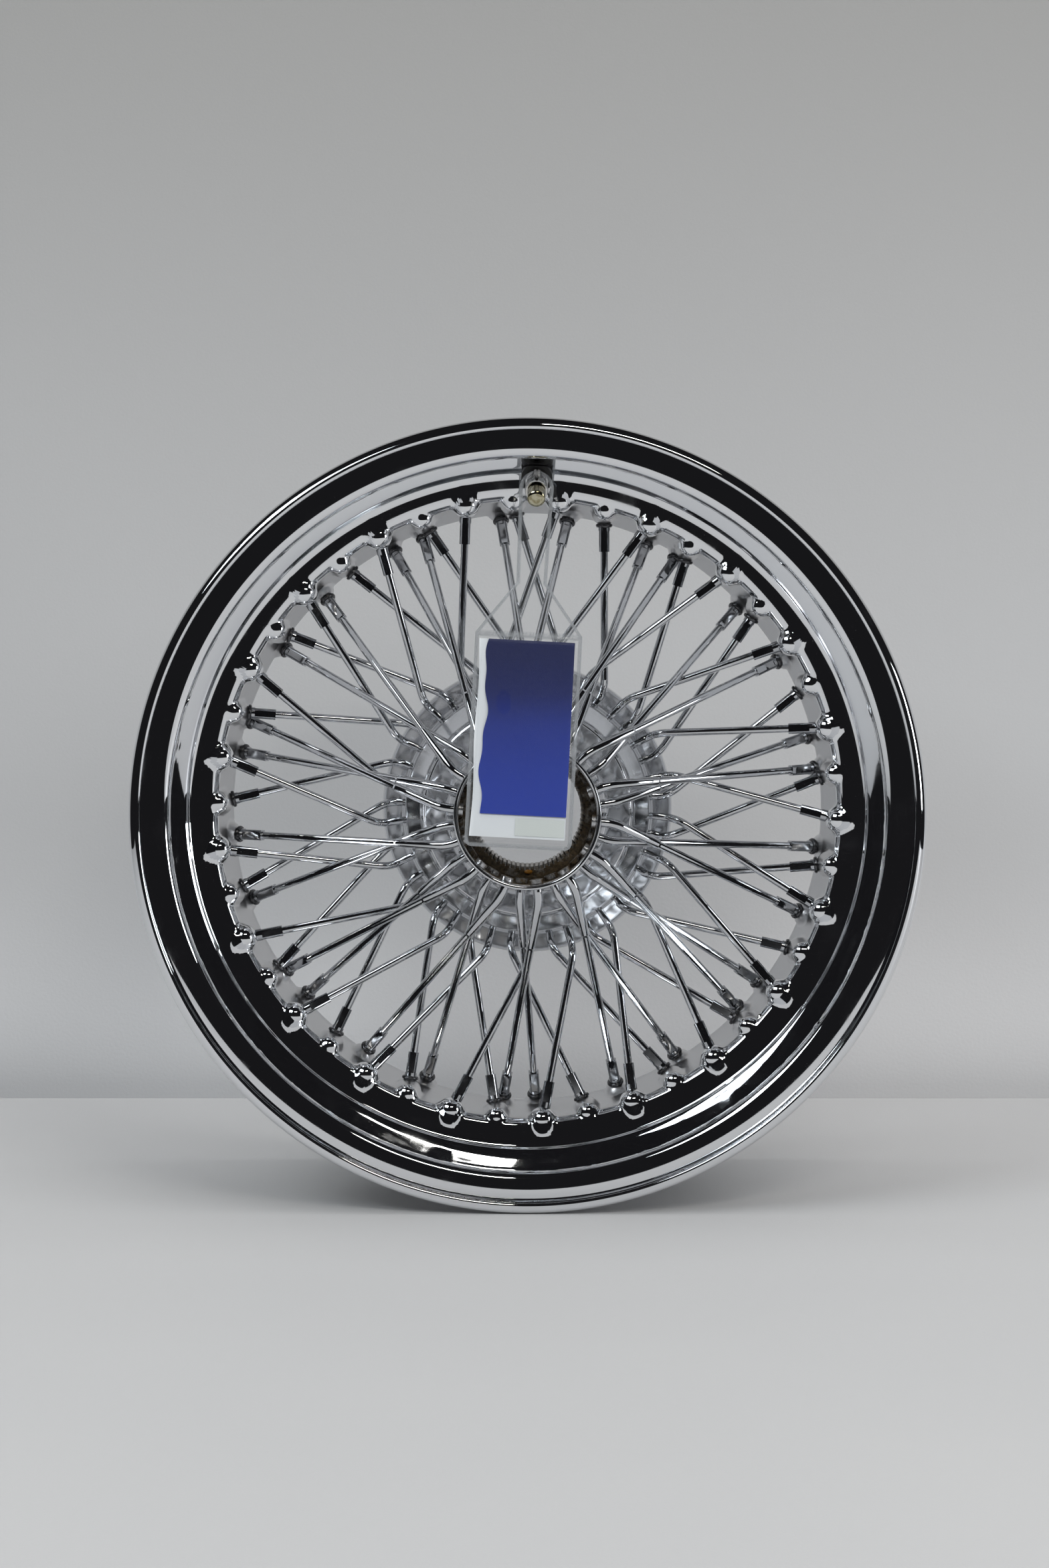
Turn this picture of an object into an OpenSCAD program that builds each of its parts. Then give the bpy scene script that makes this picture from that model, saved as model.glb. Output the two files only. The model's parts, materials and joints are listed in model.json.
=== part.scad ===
// Spoked wire wheel for a splined hub, with a clear hang tag on its tyre valve.
// The wheel stands on its rim. The axle runs along Y and the nose points to -Y.
// Depths named "_d" are measured back from the front edge of the rim.

/* [Rim] */
// Outer radius of the rim flanges
rim_r = 207.5; // [200:0.5:215]
// Clear width between the flanges, where the tyre sits
bead_w = 152.4; // [140:0.2:165]
// Thickness of the rolled steel
rim_t = 3; // [2.5:0.1:3.4]
// Outer radius of the rolled flange edge
curl_r = 5.5; // [5:0.1:6.5]
// Height of a flange above the bead seat
flange_h = 17.4; // [16.5:0.1:18.5]
// Radius of the bend from the flange into the bead seat, on the tyre side
bead_bend_r = 6.5; // [5:0.5:7]
// Fall of the bead seat towards the well
bead_fall = 4.3; // [3:0.1:5]
// Depth where the front bead seat ends and the well wall starts
well_top_d = 42; // [38:0.5:45]
// Depth where the well wall meets the spoke bed
bed_front_d = 57; // [54:0.5:58.5]
// Fall of the well wall, from the end of the bead seat to the spoke bed
well_fall = 16.6; // [15.5:0.1:17.5]
// Depth where the cone of the spoke bed ends
bed_back_d = 82; // [80:0.5:84]
// Fall of the spoke bed's cone, from its front to its back
bed_fall = 6.4; // [5.5:0.1:7]
// Width of the level strip behind the cone
bed_level_w = 7; // [6:0.5:9]
// Length of the rear well wall along the axle
rear_wall_w = 18; // [15:0.5:22]

/* [Spoke seats] */
// Outer radius of a pressed seat bump
bump_r = 7; // [6.6:0.1:7.4]
// Radius of the ball seat inside a bump
seat_r = 4.6; // [4.3:0.1:4.9]
// Height of the front row's seats above the bed, away from the hub
seat_a_rise = 1.6; // [1.2:0.05:2]
// Depth of the front row
seat_a_d = 60; // [59.5:0.1:61]
// Height of the second row's seats above the bed
seat_b_rise = 1.25; // [1:0.05:1.6]
// Depth of the second row
seat_b_d = 66.5; // [66:0.1:67.5]
// Height of the rear rows' seats above the level strip of the bed
seat_n_rise = 2.7; // [2.3:0.1:3]
// Depth of the rear row reached by the spokes that lean left
seat_nl_d = 79; // [78:0.5:80]
// Depth of the rear row reached by the spokes that lean right
seat_nr_d = 85; // [84:0.5:86]

// Length of the collar that the piercing punch draws out of a bump
lip_h = 1.3; // [1:0.1:1.6]
// Thickness of that collar
lip_t = 1.3; // [1:0.1:1.4]

/* [Sealing band] */
// Height of the band's underside above the spoke bed, clear of the nipple heads
seal_rise = 2.5; // [2.3:0.1:2.6]
// Thickness of the band
seal_t = 2.2; // [1.5:0.1:2.3]
// Gap between the band's edges and the walls of the well
seal_gap = 0.3; // [0.3:0.05:0.6]

/* [Spokes and nipples] */
// Diameter of a spoke
spoke_d = 4.06; // [3.8:0.02:4.2]
// Diameter of the thick butt of a nose spoke
butt_d = 5; // [4.6:0.1:5.2]
// Length of the thick butt outside the hub
butt_len = 24; // [18:1:30]
// Radius of the bend in a nose spoke
nose_bend_r = 18; // [12:1:20]
// Radius of the elbow in a flange spoke
elbow_r = 12; // [9:0.5:13]
// Diameter of a spoke head
head_d = 7; // [6.6:0.1:7.4]
// Thickness of a spoke head
head_t = 2.2; // [1.8:0.1:2.6]
// Diameter of a nipple's shank
nipple_d = 6.35; // [6:0.05:6.6]
// Width across the nipple's flats
nipple_af = 5.5; // [5.3:0.05:5.7]
// Reach of a nipple below the centre of its seat
nipple_len = 21; // [19:0.5:23]
// Clearance of a spoke in its holes and of a nipple in its seat
fit_gap = 0.1; // [0.06:0.01:0.14]

// Length of spoke beyond the centre of its seat
thread_end = 1.5; // [0.5:0.1:1.9]
// Height of a nipple's head above the centre of its seat
head_rise = 2; // [1.6:0.1:2.2]
// Distance from the nose bore to the corner of a nose spoke
nose_bend_len = 9; // [8:0.5:10]
// Distance from the flange to the corner of a spoke of the front row
front_elbow_len = 13.2; // [12.8:0.1:13.6]
// Distance from the flange to the corner of a spoke of the second row
second_elbow_len = 6.5; // [6:0.1:7]

/* [Lacing] */
// The pattern's repeats around the wheel; each holds 3 + 3 flange and 2 + 2 nose spokes
repeats = 7; // [7:1:7]
// Angles are measured from straight down and grow to the right.
// Hub end of a spoke of the front row
front_hub_phi = 1.0; // [0:0.1:2]
// Rim end of a spoke of the front row
front_rim_phi = -14.4; // [-15:0.1:-14]
// Hub end of a spoke of the second row
second_hub_phi = -7.3; // [-8:0.1:-7]
// Rim end of a spoke of the second row
second_rim_phi = 11.3; // [11:0.1:11.6]
// Hub ends of the two nose spokes that lean left
left_hub_phis = [7.7, 33.5]; // [0:0.1:51]
// Rim ends of the two nose spokes that lean left
left_rim_phis = [-5.0, 17.6]; // [-20:0.1:51]
// Hub ends of the two nose spokes that lean right
right_hub_phis = [-5.1, 20.6]; // [-20:0.1:51]
// Rim ends of the two nose spokes that lean right
right_rim_phis = [1.7, 31.1]; // [0:0.1:51]

/* [Hub] */
// Outer radius of the nose
nose_r = 39; // [38.5:0.1:39.5]
// Bore radius of the nose
nose_bore_r = 36.5; // [36.2:0.1:36.8]
// Depth of the nose's front lip
nose_d = 17; // [16:0.5:18]
// Depth of the front ring of nose holes
nose_front_d = 25; // [24:0.5:26]
// Depth of the rear ring of nose holes
nose_rear_d = 33; // [32:0.5:34]
// Depth where the nose bore ends
nose_bore_end_d = 42; // [40:0.5:44]
// Pitch radius of the flange holes
flange_hole_r = 72; // [71.5:0.1:72.5]
// Depth of the flange's front face at its holes
flange_hole_d = 77.5; // [77:0.1:78.5]
// Outward tilt of the flange holes
flange_tilt = 40; // [38:0.5:42]
// Outer radius of the flange
flange_r = 78.9; // [78.4:0.1:79.6]
// Thickness of the flange wall
flange_t = 5; // [4.5:0.1:5.4]
// Depth of the flange's back edge
flange_back_d = 92; // [90:0.5:95]

// Thickness of the flange's turned back lip
flange_lip_t = 3.5; // [3:0.1:4]
// How far a nose spoke's head is let into the nose bore
head_sag = 0.3; // [0.2:0.05:0.5]
// Radius of the seat of the plate that holds the sleeve
plate_land_r = 62; // [61:0.5:63]
// Depth of that seat
plate_land_d = 70.5; // [70:0.5:71.5]
// Depth where the hub's grip on the sleeve ends
sleeve_land_end = 52.5; // [50:0.5:54]

/* [Splined sleeve] */
// Radius of the spline tips
spline_tip_r = 28.7; // [28.2:0.1:29]
// Depth of a spline tooth
spline_h = 2; // [1.6:0.1:2.3]
// Number of spline teeth
spline_n = 72; // [60:4:80]
// Outer radius of the sleeve
sleeve_r = 34.5; // [34:0.1:35]
// Depth of the sleeve's front end
sleeve_front_d = 43.5; // [43:0.5:46]
// Length of the splines
spline_len = 26; // [20:1:32]
// Depth of the sleeve's back end
sleeve_back_d = 108; // [104:1:112]
// Radius of the plain bore behind the splines
register_r = 31.6; // [31.2:0.1:32]
// Width of the groove where the spline cutter runs out, before the register
runout_w = 1; // [0.8:0.1:1.5]
// Depth of that groove below the register
runout_h = 0.8; // [0.5:0.1:1]
// Thickness of the plate that holds the sleeve in the hub
back_plate_t = 3; // [2:0.5:4]

/* [Valve] */
// Angle of the valve from the middle of the wheel's bottom
valve_phi = 178.4; // [177:0.1:179.8]
// Angle between the valve and the axle
valve_tilt = 26; // [24:0.5:28]
// Depth where the valve's axis leaves the rim
valve_d = 45; // [44:0.5:46]
// Radius of the valve hole
valve_hole_r = 5.75; // [5.6:0.05:5.9]
// Length of the rubber foot on the tyre side
foot_back = 9; // [8.6:0.1:9.4]
// Length of the rubber foot on the hub side
foot_front = 5; // [4.5:0.1:5.5]
// Radius of the rubber foot
foot_r = 8.2; // [7.8:0.1:8.6]
// Outer radius of the chromed sleeve
shroud_r = 6.15; // [6:0.05:6.3]
// Distance from the rim to the chromed sleeve's mouth
shroud_end = 22; // [20.5:0.5:22.5]
// Radius of the brass stem
stem_r = 3.85; // [3.7:0.05:3.9]
// Length of the stem in front of the rim
stem_len = 30; // [29:0.5:31]
// Bore radius of the stem
stem_bore_r = 2.3; // [2.2:0.05:2.5]
// Outer radius of the cap
cap_r = 4.7; // [4.6:0.05:4.8]
// Overlap of the cap on the stem
cap_cover = 9.5; // [9:0.5:10]
// Thickness of the cap's end
cap_end_t = 1.4; // [1:0.1:1.8]
// Thickness of the rubber washer in the cap
cap_seal_t = 0.6; // [0.5:0.1:0.8]
// Gap between the cap's thread and the stem's
thread_gap = 0.3; // [0.25:0.05:0.35]
// Distance from the core's inner end to the stem's mouth
core_reach = 12; // [11:0.5:13]
// Length of the valve core
core_len = 8.4; // [8:0.1:8.8]
// Travel of the valve core pin
pin_travel = 1; // [0.8:0.1:1.2]
// Radius of the valve core pin
pin_r = 0.6; // [0.5:0.05:0.7]

/* [Tag] */
// Width of the clear pouch
tag_w = 56; // [52:1:60]
// Height of the pouch
tag_h = 112; // [105:1:118]
// Width of the strap
strap_w = 18; // [17:0.5:20]
// Distance from the strap's hole to the top of the pouch
strap_len = 77; // [74:1:80]
// Gap between the strap's hole and the valve's chromed sleeve
strap_gap = 0.6; // [0.5:0.1:0.9]
// Length over which the strap widens into the pouch
flare_len = 27; // [24:1:30]
// Narrowing of the strap on each side above the flare
strap_waist = 1; // [0:0.5:2]
// Width of the pouch's welded seam
weld_w = 2.2; // [1.8:0.1:3]
// Corner radius of the pouch
pouch_corner = 4; // [3:0.5:5]
// Inner depth of the pouch
pocket_t = 1.6; // [1.5:0.1:2]
// Thickness of one clear sheet
film_t = 0.6; // [0.5:0.1:0.8]
// Thickness of the card
card_t = 0.8; // [0.6:0.1:1]
// Width of the card
card_w = 49; // [45:1:50]
// Height of the card
card_h = 92; // [88:1:94]
// Height of the white slip behind the card
slip_h = 104; // [102:0.5:105]
// Thickness of the slip
slip_t = 0.3; // [0.3:0.1:0.4]
// Width of the label on the slip
label_w = 26; // [22:1:30]
// Thickness of the label on the slip
label_t = 0.3; // [0.3:0.1:0.4]
// Sideways tilt of the hanging tag
tag_roll = 3; // [2:0.5:4]
// Lean of the tag towards the front
tag_lean = 6; // [5:0.1:6.5]
// Distance from the rim to the strap's hole, along the valve
tag_reach = 18; // [16.5:0.5:18]

/* [Hidden] */

smooth = 96;
small = 32;
front_per_repeat = 3;
rim_w = bead_w + 2 * (2 * curl_r);
half_w = rim_w / 2;
paper_gap = 0.1;
spoke_r = spoke_d / 2;
butt_r = butt_d / 2;
head_r = head_d / 2;

cap_start = stem_len - cap_cover;
core_start = stem_len - core_reach;
core_end = core_start + core_len;
lip_r = nipple_d / 2 + lip_t;
per_ring = repeats * front_per_repeat;

// How far forming swells a spoke's bend, and how far its straight ends run into the bend
bend_swell = 0.04;
bend_lap = 0.4;

// ---- geometry helpers ----
function up(d) = half_w - d;
function place(phi, r, d) = [r * sin(phi), -r * cos(phi), up(d)];
function outward(phi, tilt) = [sin(tilt) * sin(phi), -sin(tilt) * cos(phi), cos(tilt)];
function unit(v) = v / norm(v);
function arc(cx, cy, r, from, to, n) =
    [for (i = [0 : n]) let (a = from + (to - from) * i / n) [cx + r * cos(a), cy + r * sin(a)]];
function flip(points) = [for (i = [len(points) - 1 : -1 : 0]) points[i]];

// Stands an upright child on point p, along direction v
module aim(p, v) {
    tilt = acos(v[2] / norm(v));
    turn = atan2(v[1], v[0]);
    translate(p) rotate([0, tilt, turn]) children();
}

// Turns the axle from Z to Y, with the nose towards -Y
module stand() {
    rotate([90, 0, 0]) children();
}

// ---- rim ----
seat_r_tyre = rim_r - flange_h;
seat_r_hub = seat_r_tyre - rim_t;
curl_c_r = rim_r - curl_r;
bend_c_d = 2 * curl_r + bead_bend_r;
bend_c_r = seat_r_tyre + bead_bend_r;
ledge_hub_r = seat_r_hub - bead_fall;
bed_front_r = ledge_hub_r - well_fall;
bed_back_r = bed_front_r - bed_fall;
rear_wall_d = bed_back_d + bed_level_w;
rear_ledge_d = rear_wall_d + rear_wall_w;
wall_slope = atan2(ledge_hub_r - bed_front_r, bed_front_d - well_top_d);
wall_off = rim_t / cos(wall_slope / 2) * sin(wall_slope / 2);
rear_slope = atan2(ledge_hub_r - bed_back_r, rear_wall_w);
rear_off = rim_t * tan(rear_slope / 2);

// Radius of the well's front wall and of the bed's cone at a depth, on the hub side
function wall_r(d) = ledge_hub_r - (d - well_top_d) * well_fall / (bed_front_d - well_top_d);
function bed_r(d) = bed_front_r - (d - bed_front_d) * bed_fall / (bed_back_d - bed_front_d);
seat_a_r = bed_r(seat_a_d) + seat_a_rise;
seat_b_r = bed_r(seat_b_d) + seat_b_rise;
seat_n_r = bed_back_r + seat_n_rise;
valve_r = wall_r(valve_d);

// Rolled front flange on the hub side, as [radius, height], from the edge inwards
function flange_hub_side() = concat(
    arc(curl_c_r, up(curl_r), curl_r - rim_t, 90, -90, 10),
    arc(bend_c_r, up(bend_c_d), bead_bend_r + rim_t, 90, 180, 8));
function flange_tyre_side() = concat(
    arc(curl_c_r, up(curl_r), curl_r, 90, -90, 14),
    arc(bend_c_r, up(bend_c_d), bead_bend_r, 90, 180, 8));
function mirrored(points) = [for (p = flip(points)) [p[0], -p[1]]];

function hub_side() = concat(
    flange_hub_side(),
    [[ledge_hub_r, up(well_top_d)], [bed_front_r, up(bed_front_d)], [bed_back_r, up(bed_back_d)],
     [bed_back_r, up(rear_wall_d)], [ledge_hub_r, up(rear_ledge_d)]],
    mirrored(flange_hub_side()));
function tyre_side() = concat(
    flange_tyre_side(),
    [[ledge_hub_r + rim_t, up(well_top_d + wall_off)],
     [bed_front_r + rim_t, up(bed_front_d + wall_off)],
     [bed_back_r + rim_t, up(bed_back_d)],
     [bed_back_r + rim_t, up(rear_wall_d - rear_off)],
     [ledge_hub_r + rim_t, up(rear_ledge_d - rear_off)]],
    mirrored(flange_tyre_side()));

// The rim before its tyre side is cut away
function rim_blank() = concat(hub_side(),
    [[curl_c_r, -half_w], [rim_r, -half_w], [rim_r, half_w], [curl_c_r, half_w]]);
function rim_sheet() = concat(hub_side(), flip(tyre_side()));

// Everything on the tyre's side of the rolled sheet
function tyre_space() = concat(tyre_side(), [[rim_r + 9, -half_w - 1], [rim_r + 9, half_w + 1]]);

// Lines of the four spoke rows: [seat, corner at the hub, head, hub direction]
function flange_corner(phi, reach) =
    place(phi, flange_hole_r, flange_hole_d) + outward(phi, flange_tilt) * reach;
function nose_corner(phi, d) = place(phi, nose_bore_r + nose_bend_len, d);

module on_line(from, to) {
    aim(to, unit(to - from)) children();
}

// Puts a child at each seat, pointing outwards along its spoke
module at_front_row() {
    for (k = [0 : per_ring - 1]) {
        step = 360 / per_ring * k;
        on_line(flange_corner(front_hub_phi + step, front_elbow_len),
                place(front_rim_phi + step, seat_a_r, seat_a_d)) children();
    }
}
module at_second_row() {
    for (k = [0 : per_ring - 1]) {
        step = 360 / per_ring * k;
        on_line(flange_corner(second_hub_phi + step, second_elbow_len),
                place(second_rim_phi + step, seat_b_r, seat_b_d)) children();
    }
}
module at_rear_left() {
    for (k = [0 : repeats - 1]) for (i = [0, 1]) {
        step = 360 / repeats * k;
        on_line(nose_corner(left_hub_phis[i] + step, nose_front_d),
                place(left_rim_phis[i] + step, seat_n_r, seat_nl_d)) children();
    }
}
module at_rear_right() {
    for (k = [0 : repeats - 1]) for (i = [0, 1]) {
        step = 360 / repeats * k;
        on_line(nose_corner(right_hub_phis[i] + step, nose_rear_d),
                place(right_rim_phis[i] + step, seat_n_r, seat_nr_d)) children();
    }
}
module at_all_seats() {
    at_front_row() children();
    at_second_row() children();
    at_rear_left() children();
    at_rear_right() children();
}

// Ball seat with its way in from the tyre side and the nipple's hole
module seat_cut() {
    sphere(r = seat_r, $fn = small);
    cylinder(r = seat_r, h = 3 * seat_r, $fn = small);
    translate([0, 0, -2 * bump_r])
        cylinder(r = nipple_d / 2 + fit_gap, h = 2 * bump_r, $fn = small);
}

// Short collar that the piercing punch draws out of a bump
module pierced_lip() {
    translate([0, 0, -bump_r - lip_h]) cylinder(r = lip_r, h = bump_r, $fn = small);
}

valve_base = place(valve_phi, valve_r, valve_d);
valve_dir = [-sin(valve_tilt) * sin(valve_phi), sin(valve_tilt) * cos(valve_phi), cos(valve_tilt)];

module rim() {
    color([0.80, 0.81, 0.83]) stand() difference() {
        union() {
            rotate_extrude($fn = smooth) polygon(rim_blank());
            at_all_seats() sphere(r = bump_r, $fn = small);
            at_second_row() pierced_lip();
            at_rear_left() pierced_lip();
            at_rear_right() pierced_lip();
        }
        rotate_extrude($fn = smooth) polygon(tyre_space());
        at_all_seats() seat_cut();
        aim(valve_base, valve_dir)
            translate([0, 0, -15]) cylinder(r = valve_hole_r, h = 25, $fn = small);
    }
}

// ---- sealing band in the spoke bed, on the tyre side ----
module spoke_bed_seal() {
    low_d = bed_front_d + wall_off - seal_rise / tan(wall_slope) + seal_gap;
    back_d = rear_wall_d - rear_off + seal_rise / tan(rear_slope) - seal_gap;
    seal_r = bed_front_r + rim_t + seal_rise;
    color([0.86, 0.87, 0.85]) stand() rotate_extrude($fn = smooth)
        polygon([[seal_r, up(low_d)], [seal_r, up(back_d)],
                 [seal_r + seal_t, up(back_d + seal_t / tan(rear_slope))],
                 [seal_r + seal_t, up(low_d - seal_t / tan(wall_slope))]]);
}

// ---- hub ----
flange_run = tan(flange_tilt);
function flange_front(r) = [r, flange_hole_d + (r - flange_hole_r) * flange_run];
function flange_back(r) = [r, flange_hole_d + flange_t / cos(flange_tilt)
                              + (r - flange_hole_r) * flange_run];

// Outside of the hub as [radius, depth], from the nose to the flange's back edge
function hub_outside() = concat(
    [[nose_bore_r + 0.8, nose_d], [nose_r - 0.7, nose_d + 0.2], [nose_r, nose_d + 1.2],
     [nose_r, nose_d + 5], [nose_r + 0.6, nose_d + 13], [nose_r + 1.6, nose_d + 20],
     [nose_r + 3.5, nose_d + 25], [nose_r + 7.5, nose_d + 30], [nose_r + 12, nose_d + 35],
     [nose_r + 15.6, nose_d + 39.5], [nose_r + 16.6, nose_d + 41], [nose_r + 17.2, nose_d + 43],
     [nose_r + 21, nose_d + 46.5], [nose_r + 25.6, nose_d + 50.5], [nose_r + 27.4, nose_d + 53]],
    [flange_front(flange_hole_r - 4.8), flange_front(flange_r - 3.3)],
    [[flange_r - 1.3, flange_back_d - 9.4], [flange_r - 0.3, flange_back_d - 7],
     [flange_r, flange_back_d - 4.5], [flange_r, flange_back_d]]);
function hub_inside() = concat(
    [[flange_r - flange_lip_t, flange_back_d], [flange_r - flange_lip_t, flange_back_d - 4]],
    [flange_back(flange_hole_r + 2.2), flange_back(flange_hole_r - 8)],
    [[plate_land_r, plate_land_d + 5], [plate_land_r, plate_land_d],
     [plate_land_r - 4, plate_land_d - 2], [plate_land_r - 8, plate_land_d - 5.5],
     [plate_land_r - 10.2, plate_land_d - 8], [plate_land_r - 11.7, plate_land_d - 10.5],
     [plate_land_r - 15.5, plate_land_d - 14],
     [plate_land_r - 21, sleeve_land_end], [sleeve_r + fit_gap, sleeve_land_end],
     [sleeve_r + fit_gap, nose_bore_end_d], [nose_bore_r, nose_bore_end_d],
     [nose_bore_r, nose_d + 0.6]]);
function to_height(points) = [for (p = points) [p[0], up(p[1])]];

module hub_shell() {
    color([0.78, 0.79, 0.81]) stand() difference() {
        rotate_extrude($fn = smooth) polygon(to_height(concat(hub_outside(), hub_inside())));
        for (k = [0 : repeats - 1]) for (i = [0, 1]) {
            step = 360 / repeats * k;
            nose_hole(left_hub_phis[i] + step, nose_front_d);
            nose_hole(right_hub_phis[i] + step, nose_rear_d);
        }
        for (k = [0 : per_ring - 1]) {
            step = 360 / per_ring * k;
            flange_hole(front_hub_phi + step);
            flange_hole(second_hub_phi + step);
        }
    }
}

module nose_hole(phi, d) {
    aim(place(phi, 0, d), [sin(phi), -cos(phi), 0])
        translate([0, 0, nose_bore_r - 3]) cylinder(r = butt_r + fit_gap, h = 12, $fn = small);
}

module flange_hole(phi) {
    aim(flange_corner(phi, 0), outward(phi, flange_tilt))
        translate([0, 0, -2 * flange_t])
            cylinder(r = spoke_r + fit_gap, h = 4 * flange_t, $fn = small);
}

// Outline of the splined bore, tip and root in turn
function spline_outline() = [for (i = [0 : spline_n - 1]) each
    [for (q = [[-0.28, 0], [0.28, 0], [0.34, 1], [0.66, 1]])
        let (a = 360 / spline_n * (i + q[0]), r = spline_tip_r + spline_h * q[1])
        [r * cos(a), r * sin(a)]]];

module spline_sleeve() {
    spline_end_d = sleeve_front_d + spline_len;
    root_r = spline_tip_r + spline_h;
    color([0.42, 0.38, 0.32]) stand() difference() {
        translate([0, 0, up(sleeve_back_d)])
            cylinder(r = sleeve_r, h = sleeve_back_d - sleeve_front_d, $fn = smooth);
        translate([0, 0, up(spline_end_d + 1)])
            linear_extrude(height = spline_len + 2) polygon(spline_outline());
        translate([0, 0, up(sleeve_back_d + 1)])
            cylinder(r = register_r, h = sleeve_back_d + 1 - spline_end_d, $fn = smooth);
        translate([0, 0, up(spline_end_d + runout_w)])
            cylinder(r = register_r + runout_h, h = runout_w, $fn = smooth);
        translate([0, 0, up(sleeve_front_d + 1.5)])
            cylinder(r1 = root_r - 1, r2 = root_r + 1, h = 2, $fn = smooth);
        translate([0, 0, up(sleeve_back_d + 1)])
            cylinder(r1 = register_r + 1.5, r2 = register_r, h = 9, $fn = smooth);
    }
}

module hub_back_plate() {
    color([0.55, 0.55, 0.56]) stand() translate([0, 0, up(plate_land_d + 0.5 + back_plate_t)])
        difference() {
            cylinder(r = plate_land_r - fit_gap, h = back_plate_t, $fn = smooth);
            translate([0, 0, -1])
                cylinder(r = sleeve_r + fit_gap, h = back_plate_t + 2, $fn = smooth);
        }
}

// ---- spokes ----
// Rod from a start point along its first direction, round a bend, then straight to its seat.
// The bend is a hair thicker than the rod, as forming leaves it.
module bent_rod(start, first, corner, seat, bend_r, r_first, butt, thread) {
    main = unit(seat - corner);
    bend = acos(first * main);
    tangent = bend_r * tan(bend / 2);
    side = unit(main - (main * first) * first);
    lift = cross(-side, first);
    arc_start = corner - first * tangent;
    centre = arc_start + side * bend_r;
    arc_end = corner + main * (tangent - bend_lap);
    straight = norm(seat - arc_end) + thread;
    aim(start, first)
        cylinder(r = r_first, h = norm(arc_start - start) + bend_lap, $fn = small);
    multmatrix([[-side[0], first[0], lift[0], centre[0]],
                [-side[1], first[1], lift[1], centre[1]],
                [-side[2], first[2], lift[2], centre[2]],
                [0, 0, 0, 1]])
        rotate_extrude(angle = bend, $fn = smooth)
            translate([bend_r, 0]) circle(r = r_first + bend_swell, $fn = small);
    aim(arc_end, main) rotate_extrude($fn = small)
        polygon(butt > 0
            ? [[0, 0], [r_first, 0], [r_first, butt], [spoke_r, butt + 1.5],
               [spoke_r, straight], [0, straight]]
            : [[0, 0], [spoke_r, 0], [spoke_r, straight], [0, straight]]);
}

module nose_spoke(hub_phi, hub_d, rim_phi, seat_d) {
    out = [sin(hub_phi), -cos(hub_phi), 0];
    foot = place(hub_phi, nose_bore_r - head_sag, hub_d);
    bent_rod(foot - out * head_t / 2, out, nose_corner(hub_phi, hub_d), place(rim_phi, seat_n_r, seat_d),
             nose_bend_r, butt_r, butt_len, thread_end);
    aim(foot - out * head_t, out) cylinder(r = head_r, h = head_t, $fn = small);
}

module flange_spoke(hub_phi, reach, rim_phi, seat_rad, seat_d) {
    out = outward(hub_phi, flange_tilt);
    foot = flange_corner(hub_phi, -flange_t - fit_gap);
    bent_rod(foot - out * head_t / 2, out, flange_corner(hub_phi, reach), place(rim_phi, seat_rad, seat_d),
             elbow_r, spoke_r, 0, thread_end);
    aim(foot - out * head_t, out) cylinder(r = head_r, h = head_t, $fn = small);
}

module nose_spokes_left() {
    color([0.83, 0.84, 0.86]) stand() for (k = [0 : repeats - 1]) for (i = [0, 1]) {
        step = 360 / repeats * k;
        nose_spoke(left_hub_phis[i] + step, nose_front_d, left_rim_phis[i] + step, seat_nl_d);
    }
}

module nose_spokes_right() {
    color([0.83, 0.84, 0.86]) stand() for (k = [0 : repeats - 1]) for (i = [0, 1]) {
        step = 360 / repeats * k;
        nose_spoke(right_hub_phis[i] + step, nose_rear_d, right_rim_phis[i] + step, seat_nr_d);
    }
}

module flange_spokes_front() {
    color([0.83, 0.84, 0.86]) stand() for (k = [0 : per_ring - 1]) {
        step = 360 / per_ring * k;
        flange_spoke(front_hub_phi + step, front_elbow_len,
                     front_rim_phi + step, seat_a_r, seat_a_d);
    }
}

module flange_spokes_rear() {
    color([0.83, 0.84, 0.86]) stand() for (k = [0 : per_ring - 1]) {
        step = 360 / per_ring * k;
        flange_spoke(second_hub_phi + step, second_elbow_len,
                     second_rim_phi + step, seat_b_r, seat_b_d);
    }
}

// ---- nipples ----
// Centred on its seat, with the spoke coming in from below
module nipple() {
    ball = seat_r - fit_gap;
    flat_len = nipple_len - bump_r - lip_h - 1.5;
    difference() {
        union() {
            intersection() {
                sphere(r = ball, $fn = small);
                translate([0, 0, -ball]) cylinder(r = ball, h = ball + head_rise, $fn = small);
            }
            translate([0, 0, -nipple_len]) intersection() {
                cylinder(r = nipple_d / 2, h = nipple_len, $fn = small);
                union() {
                    translate([-nipple_af / 2, -nipple_af / 2, 0])
                        cube([nipple_af, nipple_af, flat_len + 1]);
                    translate([0, 0, flat_len])
                        cylinder(r = nipple_d, h = nipple_len, $fn = small);
                }
            }
        }
        translate([0, 0, -nipple_len - 1])
            cylinder(r = spoke_r + fit_gap / 2, h = nipple_len + 1 + seat_r, $fn = small);
    }
}

module nipples_front_row() {
    color([0.76, 0.77, 0.79]) stand() at_front_row() nipple();
}
module nipples_second_row() {
    color([0.76, 0.77, 0.79]) stand() at_second_row() nipple();
}
module nipples_rear_left() {
    color([0.76, 0.77, 0.79]) stand() at_rear_left() nipple();
}
module nipples_rear_right() {
    color([0.76, 0.77, 0.79]) stand() at_rear_right() nipple();
}

// ---- valve, along its own axis from the rim's surface ----
module at_valve() {
    stand() aim(valve_base, valve_dir) children();
}

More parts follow.
